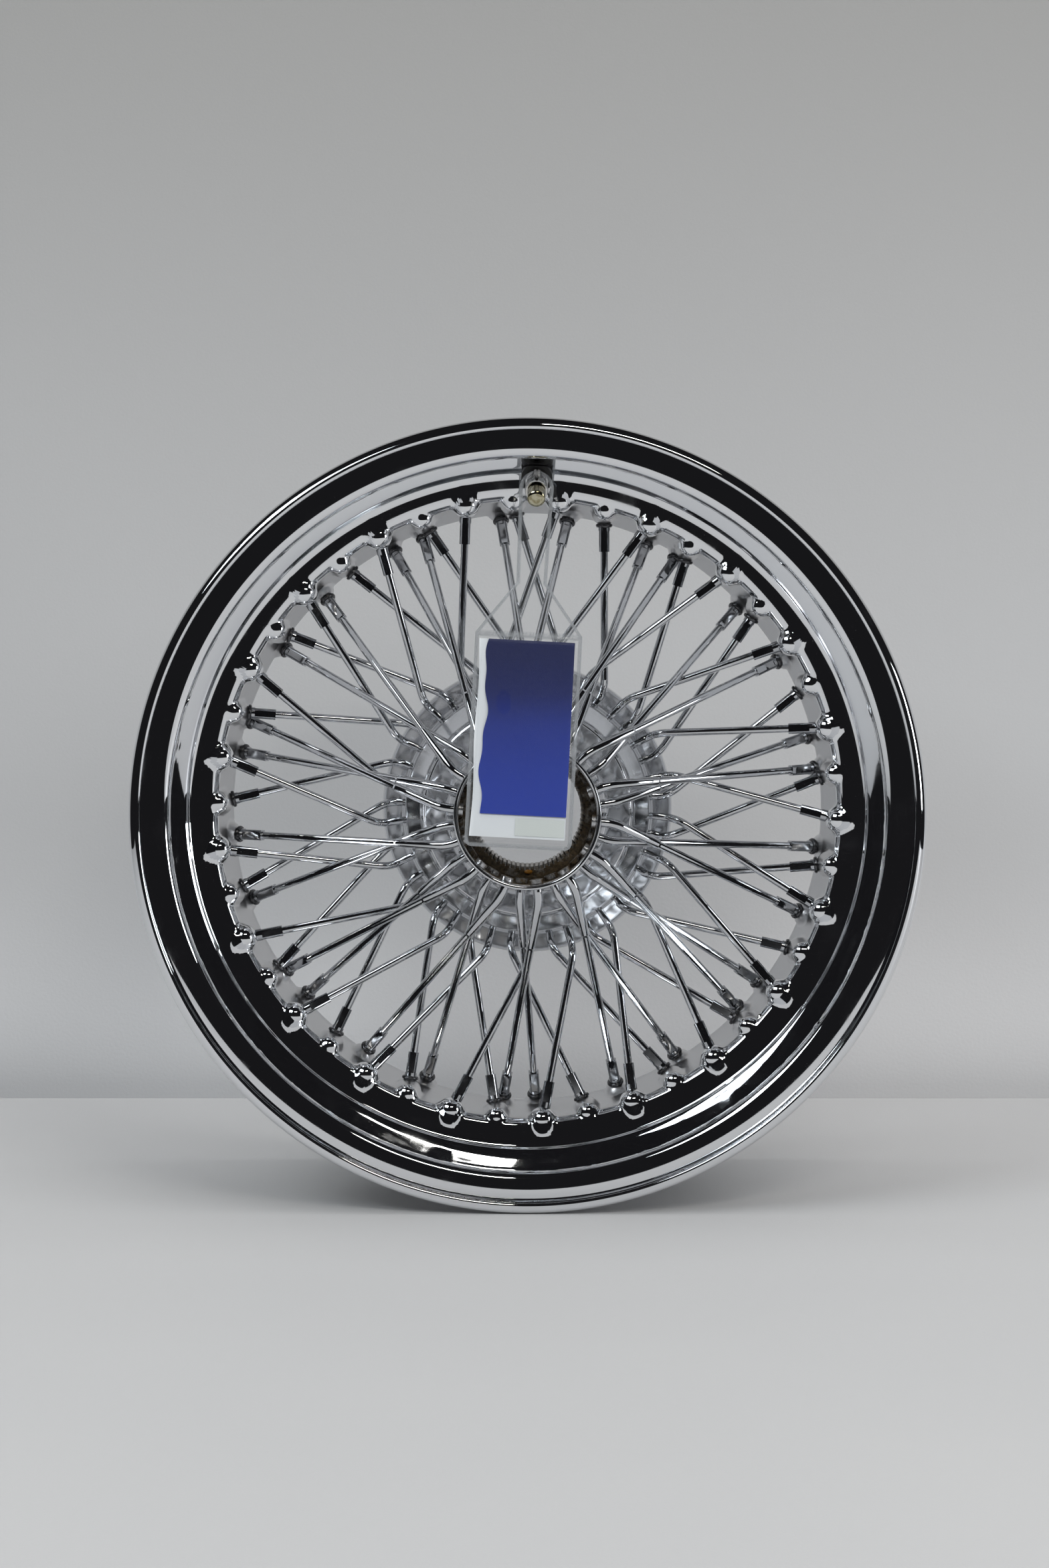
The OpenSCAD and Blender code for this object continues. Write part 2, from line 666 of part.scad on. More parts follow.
module valve_rubber() {
    color([0.10, 0.10, 0.10]) difference() {
        union() {
            difference() {
                at_valve() translate([0, 0, -foot_back])
                    cylinder(r = foot_r, h = foot_back + foot_front, $fn = small);
                stand() rotate_extrude($fn = smooth) polygon(rim_sheet());
            }
            at_valve() translate([0, 0, -foot_back])
                cylinder(r = valve_hole_r - fit_gap / 2, h = foot_back + foot_front, $fn = small);
        }
        at_valve() translate([0, 0, -foot_back - 1])
            cylinder(r = stem_r + fit_gap / 2, h = foot_back + foot_front + 2, $fn = small);
    }
}

module valve_shroud() {
    start = foot_front + 0.1;
    mouth_r = cap_r + 0.4;
    color([0.72, 0.72, 0.72]) at_valve() difference() {
        union() {
            translate([0, 0, start]) cylinder(r = shroud_r, h = shroud_end - 1 - start, $fn = small);
            translate([0, 0, shroud_end - 1])
                cylinder(r1 = shroud_r, r2 = shroud_r - 0.5, h = 1, $fn = small);
        }
        translate([0, 0, start - 1])
            cylinder(r = stem_r + fit_gap / 2, h = shroud_end, $fn = small);
        translate([0, 0, cap_start - 1])
            cylinder(r = mouth_r, h = shroud_end - cap_start + 2, $fn = small);
    }
}

module valve_stem() {
    color([0.72, 0.60, 0.32]) at_valve() difference() {
        translate([0, 0, -foot_back - 1])
            cylinder(r = stem_r, h = stem_len + foot_back + 1, $fn = small);
        translate([0, 0, -foot_back - 2])
            cylinder(r = stem_bore_r, h = stem_len + foot_back + 3, $fn = small);
    }
}

module valve_core() {
    color([0.80, 0.68, 0.38]) at_valve() difference() {
        translate([0, 0, core_start])
            cylinder(r = stem_bore_r - fit_gap / 2, h = core_end - core_start, $fn = small);
        translate([0, 0, core_start - 1])
            cylinder(r = pin_r + thread_gap, h = core_end - core_start + 2, $fn = small);
    }
}

module valve_core_pin() {
    plug_r = stem_bore_r - 2 * thread_gap;
    color([0.85, 0.78, 0.55]) at_valve() {
        translate([0, 0, core_start - 3])
            cylinder(r = pin_r, h = core_end + 4.6 - core_start, $fn = small);
        translate([0, 0, core_start - 2.3]) cylinder(r = plug_r, h = 2, $fn = small);
        translate([0, 0, core_end + pin_travel + 0.3]) cylinder(r = 1.1, h = 0.6, $fn = small);
    }
}

module valve_cap() {
    bore_end = stem_len + thread_gap + cap_seal_t;
    top = bore_end + cap_end_t;
    color([0.62, 0.58, 0.45]) at_valve() difference() {
        rotate_extrude($fn = small)
            polygon([[0, cap_start], [cap_r, cap_start], [cap_r, bore_end],
                     [cap_r - 0.3, bore_end + 0.5], [cap_r - 1.2, top - 0.3],
                     [cap_r - 2.6, top], [0, top]]);
        translate([0, 0, cap_start - 1])
            cylinder(r = stem_r + thread_gap, h = bore_end - cap_start + 1, $fn = small);
    }
}

module valve_cap_seal() {
    color([0.12, 0.12, 0.12]) at_valve() difference() {
        translate([0, 0, stem_len + thread_gap])
            cylinder(r = stem_r + thread_gap - fit_gap, h = cap_seal_t - fit_gap / 2, $fn = small);
        translate([0, 0, stem_len]) cylinder(r = stem_bore_r, h = 3, $fn = small);
    }
}

// ---- hang tag, drawn flat with its strap's hole at the origin and its pouch below ----
module at_tag() {
    stand() translate(valve_base + valve_dir * tag_reach)
        rotate([-tag_lean, 0, 0]) rotate([0, 0, -tag_roll]) children();
}

// Strap from its round end down to the top of the pouch
function strap_points() = concat(
    arc(0, 0, strap_w / 2, 0, 180, 16),
    [[-strap_w / 2 + strap_waist, flare_len - strap_len], [-tag_w / 2, -strap_len]]);
function strap_points_back() = [[tag_w / 2, -strap_len],
                                [strap_w / 2 - strap_waist, flare_len - strap_len]];

// Rounded foot of the pouch, from left to right
function pouch_foot(inset) = concat(
    arc(pouch_corner - tag_w / 2, pouch_corner - strap_len - tag_h, pouch_corner - inset,
        180, 270, 6),
    arc(tag_w / 2 - pouch_corner, pouch_corner - strap_len - tag_h, pouch_corner - inset,
        270, 360, 6));

module tag_outline() {
    polygon(concat(strap_points(), pouch_foot(0), strap_points_back()));
}

module pouch_outline(inset) {
    polygon(concat([[inset - tag_w / 2, -strap_len - inset]], pouch_foot(inset),
                   [[tag_w / 2 - inset, -strap_len - inset]]));
}

module strap_hole() {
    at_valve() translate([0, 0, tag_reach - 20])
        cylinder(r = shroud_r + strap_gap, h = 40, $fn = small);
}

module tag_back_sheet() {
    color([0.82, 0.85, 0.88, 0.35]) difference() {
        at_tag() linear_extrude(height = film_t) tag_outline();
        strap_hole();
    }
}

module tag_front_sheet() {
    color([0.82, 0.85, 0.88, 0.35]) difference() {
        at_tag() translate([0, 0, film_t]) union() {
            linear_extrude(height = film_t) tag_outline();
            linear_extrude(height = pocket_t + film_t) pouch_outline(0);
        }
        at_tag() translate([0, 0, film_t - 1])
            linear_extrude(height = pocket_t + 1) pouch_outline(weld_w);
        strap_hole();
    }
}

// Rectangle hung from its top edge, which lies below the pouch's top by the given drop
module sheet_of_paper(w, h, drop, shift, t) {
    translate([shift - w / 2, -strap_len - drop - h, 0]) cube([w, h, t]);
}

module tag_slip() {
    color([0.90, 0.92, 0.94]) at_tag() translate([0, 0, film_t + paper_gap])
        sheet_of_paper(card_w, slip_h, weld_w + 1, 0, slip_t);
}

module tag_card() {
    color([0.10, 0.15, 0.50]) at_tag() translate([0, 0, film_t + 2 * paper_gap + slip_t])
        sheet_of_paper(card_w, card_h, weld_w + 1, 0, card_t);
}

module tag_label() {
    color([0.80, 0.84, 0.82]) at_tag() translate([0, 0, film_t + paper_gap + slip_t])
        sheet_of_paper(label_w, slip_h - card_h - 3, weld_w + 2.5 + card_h,
                       card_w / 2 - label_w / 2 - 0.5, label_t);
}

rim();
spoke_bed_seal();
hub_shell();
spline_sleeve();
hub_back_plate();
nose_spokes_left();
nose_spokes_right();
flange_spokes_front();
flange_spokes_rear();
nipples_front_row();
nipples_second_row();
nipples_rear_left();
nipples_rear_right();
valve_rubber();
valve_shroud();
valve_stem();
valve_core();
valve_core_pin();
valve_cap();
valve_cap_seal();
tag_back_sheet();
tag_front_sheet();
tag_card();
tag_slip();
tag_label();
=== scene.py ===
import json
import math
import random

import bpy
import numpy as np
from mathutils import Matrix, Vector
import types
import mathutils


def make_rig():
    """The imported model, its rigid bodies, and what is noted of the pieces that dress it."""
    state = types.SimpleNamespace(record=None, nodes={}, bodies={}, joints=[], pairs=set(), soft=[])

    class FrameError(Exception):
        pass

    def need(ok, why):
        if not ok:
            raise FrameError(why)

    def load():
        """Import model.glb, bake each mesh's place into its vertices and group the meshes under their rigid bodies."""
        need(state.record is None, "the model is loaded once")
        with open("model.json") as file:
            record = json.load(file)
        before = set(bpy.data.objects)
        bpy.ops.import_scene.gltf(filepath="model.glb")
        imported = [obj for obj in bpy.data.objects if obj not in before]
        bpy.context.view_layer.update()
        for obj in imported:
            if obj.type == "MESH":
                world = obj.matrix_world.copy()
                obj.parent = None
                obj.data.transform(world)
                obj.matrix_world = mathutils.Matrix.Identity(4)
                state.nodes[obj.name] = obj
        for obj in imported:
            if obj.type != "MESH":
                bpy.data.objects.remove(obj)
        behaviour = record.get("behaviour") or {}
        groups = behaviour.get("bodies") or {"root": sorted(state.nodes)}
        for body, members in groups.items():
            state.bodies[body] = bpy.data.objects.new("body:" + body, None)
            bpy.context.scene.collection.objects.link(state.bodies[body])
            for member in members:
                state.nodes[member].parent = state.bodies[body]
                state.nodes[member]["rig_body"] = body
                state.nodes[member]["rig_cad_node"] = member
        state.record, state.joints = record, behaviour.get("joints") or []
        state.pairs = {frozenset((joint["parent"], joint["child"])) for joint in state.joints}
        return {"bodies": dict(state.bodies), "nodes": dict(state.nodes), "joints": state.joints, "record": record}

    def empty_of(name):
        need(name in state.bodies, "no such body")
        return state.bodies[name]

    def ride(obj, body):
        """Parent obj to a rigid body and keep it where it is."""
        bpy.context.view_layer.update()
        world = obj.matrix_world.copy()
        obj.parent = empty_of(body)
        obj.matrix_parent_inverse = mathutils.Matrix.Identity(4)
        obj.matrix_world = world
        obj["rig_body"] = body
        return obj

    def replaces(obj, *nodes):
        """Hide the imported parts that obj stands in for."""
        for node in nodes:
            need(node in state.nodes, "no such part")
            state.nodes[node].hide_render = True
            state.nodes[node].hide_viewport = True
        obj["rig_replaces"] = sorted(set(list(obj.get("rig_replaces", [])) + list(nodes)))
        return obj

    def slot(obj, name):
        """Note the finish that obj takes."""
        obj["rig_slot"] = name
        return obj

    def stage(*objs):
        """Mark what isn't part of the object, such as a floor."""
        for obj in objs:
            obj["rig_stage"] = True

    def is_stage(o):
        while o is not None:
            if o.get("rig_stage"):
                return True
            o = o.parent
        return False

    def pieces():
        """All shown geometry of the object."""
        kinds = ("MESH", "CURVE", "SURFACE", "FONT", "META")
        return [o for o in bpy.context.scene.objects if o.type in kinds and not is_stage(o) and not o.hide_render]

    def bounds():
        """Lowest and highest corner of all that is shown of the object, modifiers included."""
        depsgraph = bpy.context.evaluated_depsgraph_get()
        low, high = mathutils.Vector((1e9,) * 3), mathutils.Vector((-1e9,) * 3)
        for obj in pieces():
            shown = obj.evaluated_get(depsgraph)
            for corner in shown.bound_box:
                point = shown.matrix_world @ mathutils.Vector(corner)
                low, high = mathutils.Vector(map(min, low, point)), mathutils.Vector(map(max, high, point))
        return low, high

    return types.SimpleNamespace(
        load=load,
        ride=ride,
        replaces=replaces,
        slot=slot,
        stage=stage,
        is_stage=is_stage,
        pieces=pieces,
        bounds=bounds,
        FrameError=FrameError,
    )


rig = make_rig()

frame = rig.load()
cad_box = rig.bounds()

RIM_FRONT = 0.0872  # the rim's front edge lies this far in front of the frame's origin, in metres

# Camera: a short telephoto on a tripod, square to the wheel and a little above its axle.
# It stands 1.72 m in front of the rim's front edge and looks slightly down.
camera_rise, camera_lift, camera_turn = 4.0, 0.6, 0.05
camera_distance = 1.722
camera = bpy.data.objects.new("camera", bpy.data.cameras.new("camera"))
bpy.context.scene.collection.objects.link(camera)
camera.data.sensor_width = 23.6
camera.data.lens = 50
rise_angle = math.radians(camera_rise)
front_centre = Vector((0, -RIM_FRONT, 0))
camera.location = front_centre + camera_distance * Vector((0, -math.cos(rise_angle),
                                                           math.sin(rise_angle)))
camera.rotation_euler = (math.radians(90 - camera_rise + camera_lift), 0,
                         math.radians(camera_turn))
bpy.context.scene.camera = camera
bpy.context.scene.view_settings.view_transform = "Standard"


# Table and wall: a table top covered with pale paper, and a plain grey wall close behind it.
# They aren't part of the wheel. The wall's colour is palest at its foot and grows darker and warmer
# towards the ceiling: painted light, standing in for the light that falls off up the wall.
def new_material(name):
    material = bpy.data.materials.new(name)
    material.use_nodes = True
    tree = material.node_tree
    return material, tree, tree.nodes["Principled BSDF"]


def node(tree, kind, values=None, **settings):
    made = tree.nodes.new(kind)
    for key, value in settings.items():
        setattr(made, key, value)
    for key, value in (values or {}).items():
        made.inputs[key].default_value = value
    return made


def object_place(tree):
    return tree.nodes.new("ShaderNodeTexCoord").outputs["Object"]


def math_node(tree, operation, first, second=None, clamp=False):
    made = node(tree, "ShaderNodeMath", operation=operation, use_clamp=clamp)
    for socket, value in zip(made.inputs, (first, second)):
        if isinstance(value, (int, float)):
            socket.default_value = value
        elif value is not None:
            tree.links.new(value, socket)
    return made.outputs[0]


def spread(tree, value, low, high, out_low=0.0, out_high=1.0):
    made = node(tree, "ShaderNodeMapRange", {"From Min": low, "From Max": high,
                                             "To Min": out_low, "To Max": out_high},
                interpolation_type="SMOOTHSTEP")
    tree.links.new(value, made.inputs["Value"])
    return made.outputs["Result"]


def noise(tree, place, scale, detail=2.0, roughness=0.5):
    made = node(tree, "ShaderNodeTexNoise", {"Scale": scale, "Detail": detail,
                                             "Roughness": roughness})
    tree.links.new(place, made.inputs["Vector"])
    return made.outputs["Fac"]


def blend_colours(tree, mask, first, second):
    made = node(tree, "ShaderNodeMix", data_type="RGBA")
    tree.links.new(mask, made.inputs[0])
    for socket, value in zip((made.inputs[6], made.inputs[7]), (first, second)):
        if isinstance(value, tuple):
            socket.default_value = value + (1,)
        else:
            tree.links.new(value, socket)
    return made.outputs[2]


def relief(tree, shader, height, depth):
    made = node(tree, "ShaderNodeBump", {"Strength": 1.0, "Distance": depth})
    tree.links.new(height, made.inputs["Height"])
    tree.links.new(made.outputs["Normal"], shader.inputs["Normal"])


floor_z = -0.2075
bpy.ops.object.select_all(action="DESELECT")
bpy.ops.mesh.primitive_plane_add(size=1, location=(0, -0.52, floor_z))
table_top = bpy.context.object
table_top.name = "table_top"
table_top.scale = (3.0, 1.66, 1)
bpy.ops.object.transform_apply(location=True, rotation=True, scale=True)
bpy.ops.mesh.primitive_plane_add(size=1, location=(0, 0.36, 0.10),
                                 rotation=(math.radians(90), 0, 0))
backdrop = bpy.context.object
backdrop.name = "backdrop"
backdrop.scale = (3.4, 1.6, 1)
bpy.ops.object.transform_apply(location=True, rotation=True, scale=True)

paper, tree, shader = new_material("pale_paper")
tint = blend_colours(tree, noise(tree, object_place(tree), 3.0, 3.0),
                     (0.585, 0.585, 0.59), (0.635, 0.632, 0.63))
tree.links.new(tint, shader.inputs["Base Color"])
shader.inputs["Roughness"].default_value = 0.55
relief(tree, shader, noise(tree, object_place(tree), 900.0, 3.0), 0.0001)
table_top.data.materials.append(paper)

grey_wall, tree, shader = new_material("grey_wall")
axes = tree.nodes.new("ShaderNodeSeparateXYZ")
tree.links.new(object_place(tree), axes.inputs[0])
# painted light: the wall's foot is made palest and its upper part darker, in place of the light's fall-off
foot = spread(tree, axes.outputs["Z"], -0.25, -0.02)
tint = blend_colours(tree, foot, (0.97, 0.97, 0.98), (0.61, 0.61, 0.615))
painted_falloff = spread(tree, axes.outputs["Z"], -0.05, 0.75)
tint = blend_colours(tree, painted_falloff, tint, (0.325, 0.32, 0.31))
tree.links.new(tint, shader.inputs["Base Color"])
shader.inputs["Roughness"].default_value = 0.8
relief(tree, shader, noise(tree, object_place(tree), 500.0, 3.0), 0.0001)
backdrop.data.materials.append(grey_wall)
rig.stage(table_top, backdrop)


# Lights: a large soft panel overhead and a fill panel at the front right, neither of which shows
# in the chrome, a six-paned window high at the left, a narrow lamp high at the right and a
# two-paned window at the right. The rest of the room is dark, so that the chrome shows black.
def soft_panel(name, place, aim_at, width, height, power, colour):
    lamp = bpy.data.lights.new(name, "AREA")
    lamp.shape = "RECTANGLE"
    lamp.size = width
    lamp.size_y = height
    lamp.energy = power
    lamp.color = colour
    panel = bpy.data.objects.new(name, lamp)
    bpy.context.scene.collection.objects.link(panel)
    panel.location = place
    aim = (Vector(aim_at) - Vector(place)).to_track_quat("-Z", "Y")
    panel.rotation_euler = aim.to_euler()
    return panel


def window(name, place, width, height, columns, rows, bar, power, colour):
    middle = Vector(place)
    aim = (-middle).to_track_quat("-Z", "Y")
    pane_w = (width - bar * (columns - 1)) / columns
    pane_h = (height - bar * (rows - 1)) / rows
    for column in range(columns):
        for row in range(rows):
            across = (column - (columns - 1) / 2) * (pane_w + bar)
            up = (row - (rows - 1) / 2) * (pane_h + bar)
            pane = soft_panel(f"{name}_{column}{row}", place, (0, 0, 0), pane_w, pane_h,
                              power / (columns * rows), colour)
            pane.location = middle + aim @ Vector((across, up, 0))
            pane.rotation_euler = aim.to_euler()


top_panel = soft_panel("top_panel", (0, -0.25, 1.9), (0, -0.1, 0), 3.0, 1.5, 25, (1, 1, 1))
fill_panel = soft_panel("fill_panel", (0.9, -1.6, 1.2), (0, 0.4, -0.05), 1.4, 0.9, 13, (1, 1, 1))
for panel in (top_panel, fill_panel):
    panel.visible_glossy = False
window("left_window", (-1.20, -1.43, 1.36), 1.15, 0.70, 3, 2, 0.05, 16, (0.90, 0.96, 1))
soft_panel("high_lamp", (0.42, -1.75, 1.30), (0, 0, 0), 0.75, 0.10, 5, (1, 0.97, 0.90))
window("right_window", (2.1, -0.95, 0.30), 0.45, 0.80, 2, 1, 0.05, 9, (0.94, 0.97, 1))
world = bpy.data.worlds.new("dark_room")
bpy.context.scene.world = world
world.use_nodes = True
world.node_tree.nodes["Background"].inputs["Color"].default_value = (0.010, 0.010, 0.011, 1)
world.node_tree.nodes["Background"].inputs["Strength"].default_value = 1


# Rim: steel sheet rolled to the drop-centre form, with its spoke seats pressed in as domes from
# the tyre's side, then polished on the side that shows and plated with nickel and chrome.
def arc_points(centre_r, centre_d, radius, start, end, steps):
    points = []
    for step in range(steps + 1):
        angle = math.radians(start + (end - start) * step / steps)
        points.append((centre_r + radius * math.cos(angle), centre_d + radius * math.sin(angle)))
    return points


def rim_outline():
    """Radius and depth behind the front edge, in mm, round the closed section"""
    shown = [(202.2, 0.38), (201.5, 0.68), (201.3, 1.2), (201.3, 2.3), (201.6, 2.85)]
    shown += arc_points(202, 5.5, 2.5, -90, 90, 7)
    shown += [(200.5, 8.0), (198.4, 8.03), (197.0, 8.10), (195.6, 8.20), (194.2, 8.34),
              (192.9, 8.51), (191.7, 8.69)]
    shown += arc_points(192.07, 14.3, 5.6, -100, -177, 8)
    shown += [(186.3, 17.5), (185.95, 21.0), (185.2, 28.0), (184.3, 35.0), (183.4, 41.5),
              (182.4, 47.2), (181.75, 50.2), (181.3, 51.5), (180.7, 52.4), (179.9, 52.95)]
    shown += [(178.9, 53.25), (176.0, 53.65), (173.2, 54.02), (171.2, 54.32), (169.8, 54.6),
              (168.9, 54.9), (168.2, 55.3), (167.7, 55.75), (167.4, 56.1)]
    shown += [(167.05, 56.7), (166.65, 57.3), (166.2, 57.9), (165.8, 58.5), (165.5, 59.2)]
    shown += [(165.5 - 5.74 * k / 11, 59.2 + 22.8 * k / 11) for k in range(1, 12)]
    shown += [(159.75, 85.5), (159.8, 87.6), (160.1, 89.1), (160.8, 90.3), (161.9, 91.3)]
    shown += [(166.0, 94.4), (171.5, 98.4), (177.0, 102.6), (180.6, 105.3), (182.0, 106.6),
              (182.7, 107.9), (182.95, 109.6)]
    shown += [(183.9, 120.0), (185.2, 135.0), (186.4, 149.0)]
    shown += arc_points(196.5, 156.9, 9.5, 180, 90, 9)
    shown += [(199.5, 166.4)]
    shown += arc_points(202, 168.9, 2.5, -90, 90, 7)
    shown += [(201.5, 171.7), (201.35, 172.4), (201.35, 173.6), (201.5, 174.15)]
    hidden = arc_points(202, 168.9, 5.5, 90, -90, 12)
    hidden += arc_points(196.5, 156.9, 6.5, 90, 180, 5)
    hidden += [(185.74, 105.5), (162.76, 87.5), (162.76, 82.0), (168.0, 61.0), (170.4, 58.0),
               (181.4, 56.4), (184.4, 54.0), (186.6, 43.3)]
    hidden += arc_points(196.5, 17.5, 6.5, 180, 270, 5)
    hidden += arc_points(202, 5.5, 5.5, 90, -80, 12)
    return shown, hidden


def closed_chain(name, points):
    """A closed chain of edges through the points, in metres, as the active object"""
    bpy.ops.object.select_all(action="DESELECT")
    bpy.ops.mesh.primitive_circle_add(vertices=len(points), radius=0.05, fill_type="NOTHING")
    chain = bpy.context.object
    chain.name = name
    for vertex, point in zip(chain.data.vertices, points):
        vertex.co = point
    return chain


def spin_round(axis, steps, weld_gap):
    """Spins the active chain once round the axis and welds the seam"""
    bpy.ops.object.mode_set(mode="EDIT")
    bpy.ops.mesh.select_all(action="SELECT")
    bpy.ops.mesh.spin(steps=steps, angle=math.tau, center=(0, 0, 0), axis=axis)
    bpy.ops.mesh.select_all(action="SELECT")
    bpy.ops.mesh.remove_doubles(threshold=weld_gap)
    bpy.ops.mesh.normals_make_consistent(inside=False)
    bpy.ops.object.mode_set(mode="OBJECT")


def axle_section(outline_mm):
    """Points of a section given as radius and depth behind the rim's front edge, in mm"""
    return [(0, depth / 1000 - RIM_FRONT, -radius / 1000) for radius, depth in outline_mm]


shown_side, tyre_side = rim_outline()
rim = closed_chain("polished_rim", axle_section(shown_side + tyre_side))
spin_round((0, 1, 0), 840, 0.000005)

# The front row's 21 seats lie on the well's shoulder, the second row's 21 just behind them, each
# pressed long enough to reach the shoulder too, and the rear 28 near the back of the well.
seat_rows = [(167.0, 59.2, -14.4, 21, 17.142857, (-0.80, -0.60), 7.3),
             (165.0, 66.0, 11.3, 21, 17.142857, (-0.95, -0.31), 7.0),
             (166.2, 61.2, 11.3, 21, 17.142857, (-0.80, -0.60), 6.3),
             (162.5, 79.0, -5.0, 7, 51.428571, (-0.97, -0.24), 7.0),
             (162.5, 79.0, 17.6, 7, 51.428571, (-0.97, -0.24), 7.0),
             (162.5, 85.0, 1.7, 7, 51.428571, (-1.0, 0.0), 7.0),
             (162.5, 85.0, 31.1, 7, 51.428571, (-1.0, 0.0), 7.0)]


seat_reach = 17.0    # no dome spreads further than this from its seat, in mm
highest_lift = 11.0
halvings = 22


def vertex_values(mesh, name):
    """A vertex vector of the mesh, as an array of rows"""
    values = np.empty(len(mesh.vertices) * 3)
    mesh.vertices.foreach_get(name, values)
    return values.reshape(-1, 3)


def press_seats(mesh, soft=1.3):
    """Lifts the skin near each seat to a dome, with a soft foot where it meets the sheet"""
    co = vertex_values(mesh, "co") * 1000
    normal = vertex_values(mesh, "normal")
    start = co.copy()
    for radius, depth, first, number, pitch, (out_r, out_y), dome_radius in seat_rows:
        for turn in range(number):
            angle = math.radians(first + pitch * turn)
            radial = np.array([math.sin(angle), 0, -math.cos(angle)])
            seat = radial * radius + np.array([0, depth - RIM_FRONT * 1000, 0])
            lift = radial * out_r + np.array([0, out_y, 0])
            lift /= np.linalg.norm(lift)
            facing = normal @ lift
            within = np.linalg.norm(start - seat, axis=1) < seat_reach
            near = np.nonzero(within & (facing > 0.2))[0]
            low = np.zeros(len(near))
            high = np.full(len(near), highest_lift)
            for _ in range(halvings):
                middle = (low + high) / 2
                sheet = middle * facing[near]
                ball = np.linalg.norm(start[near] + lift * middle[:, None] - seat, axis=1)
                ball -= dome_radius
                mix = np.clip(soft - np.abs(sheet - ball), 0, None) / soft
                union = np.minimum(sheet, ball) - mix * mix * soft / 4
                inside = union < 0
                low = np.where(inside, middle, low)
                high = np.where(inside, high, middle)
            moved = start[near] + lift * ((low + high) / 2)[:, None]
            further = (moved - start[near]) @ lift > (co[near] - start[near]) @ lift
            co[near[further]] = moved[further]
    mesh.vertices.foreach_set("co", (co / 1000).ravel())
    mesh.update()


press_seats(rim.data)


# Rolling leaves the bead's ridge slightly wavy round the wheel, which breaks its reflections.
def roll_waves(mesh):
    co = vertex_values(mesh, "co")
    radius = np.hypot(co[:, 0], co[:, 2])
    angle = np.arctan2(co[:, 0], -co[:, 2])
    depth = co[:, 1] + RIM_FRONT
    band = np.exp(-((depth - 0.0192) / 0.0016) ** 2) * (radius < 0.1885)
    wave = 0.00005 * np.sin(31 * angle + 1.3 * np.sin(3 * angle)) + 0.00003 * np.sin(53 * angle)
    ledge = (depth > 0.020) & (depth < 0.043) & (radius < 0.1868)
    slow = 0.00002 * np.sin(9 * angle + 0.8) * ledge
    scale = 1 + (wave * band + slow) / radius
    co[:, 0] *= scale
    co[:, 2] *= scale
    mesh.vertices.foreach_set("co", co.ravel())
    mesh.update()


roll_waves(rim.data)
bpy.ops.object.select_all(action="DESELECT")
rim.select_set(True)
bpy.context.view_layer.objects.active = rim
bpy.ops.object.shade_smooth_by_angle(angle=math.radians(50))


# Polished plate is never quite flat or quite clean: it has slow waves from the polishing wheel,
# a fine haze, and dust specks. The outputs are a roughness and a height.
def plate_finish_group():
    group = bpy.data.node_groups.new("plate_finish", "ShaderNodeTree")
    for name, low in (("Mirror", 0.03), ("Haze", 0.10)):
        socket = group.interface.new_socket(name, in_out="INPUT", socket_type="NodeSocketFloat")
        socket.default_value = low
    group.interface.new_socket("Roughness", in_out="OUTPUT", socket_type="NodeSocketFloat")
    group.interface.new_socket("Height", in_out="OUTPUT", socket_type="NodeSocketFloat")
    given = group.nodes.new("NodeGroupInput")
    result = group.nodes.new("NodeGroupOutput")
    place = object_place(group)
    smear = spread(group, noise(group, place, 38.0, 4.0, 0.6), 0.50, 0.78)
    fine = noise(group, place, 1500.0, 2.0)
    specks = node(group, "ShaderNodeTexVoronoi", {"Scale": 520.0})
    group.links.new(place, specks.inputs["Vector"])
    dust = spread(group, specks.outputs["Distance"], 0.10, 0.02)
    haze = math_node(group, "MULTIPLY", smear, math_node(group, "ADD", fine, 0.3))
    haze = math_node(group, "ADD", haze, math_node(group, "MULTIPLY", dust, 1.5))
    haze = math_node(group, "MULTIPLY", haze, given.outputs["Haze"])
    rough = math_node(group, "ADD", haze, given.outputs["Mirror"])
    group.links.new(rough, result.inputs["Roughness"])
    slow = noise(group, place, 55.0, 1.0)
    height = math_node(group, "ADD", slow, math_node(group, "MULTIPLY", fine, 0.01))
    group.links.new(height, result.inputs["Height"])
    return group


plate_finish = plate_finish_group()


def plated_metal(name, base, mirror, haze, wave):
    """Chrome over polished metal: base colour, its least roughness, its haze and its waviness"""
    material, tree, shader = new_material(name)
    plate = tree.nodes.new("ShaderNodeGroup")
    plate.node_tree = plate_finish
    plate.inputs["Mirror"].default_value = mirror
    plate.inputs["Haze"].default_value = haze
    shader.inputs["Base Color"].default_value = base + (1,)
    shader.inputs["Metallic"].default_value = 1.0
    tree.links.new(plate.outputs["Roughness"], shader.inputs["Roughness"])
    relief(tree, shader, plate.outputs["Height"], wave)
    return material, tree, shader, plate


def ring_place(tree):
    """Distance from the axle, and depth behind the rim's front edge, in metres"""
    axes = tree.nodes.new("ShaderNodeSeparateXYZ")
    tree.links.new(object_place(tree), axes.inputs[0])
    across = math_node(tree, "MULTIPLY", axes.outputs["X"], axes.outputs["X"])
    up = math_node(tree, "MULTIPLY", axes.outputs["Z"], axes.outputs["Z"])
    radius = math_node(tree, "SQRT", math_node(tree, "ADD", across, up))
    return radius, math_node(tree, "ADD", axes.outputs["Y"], RIM_FRONT)


rim_colour = (0.80, 0.81, 0.83)
rim_chrome, tree, shader, plate = plated_metal("rim_chrome", rim_colour, 0.025, 0.10, 0.000008)
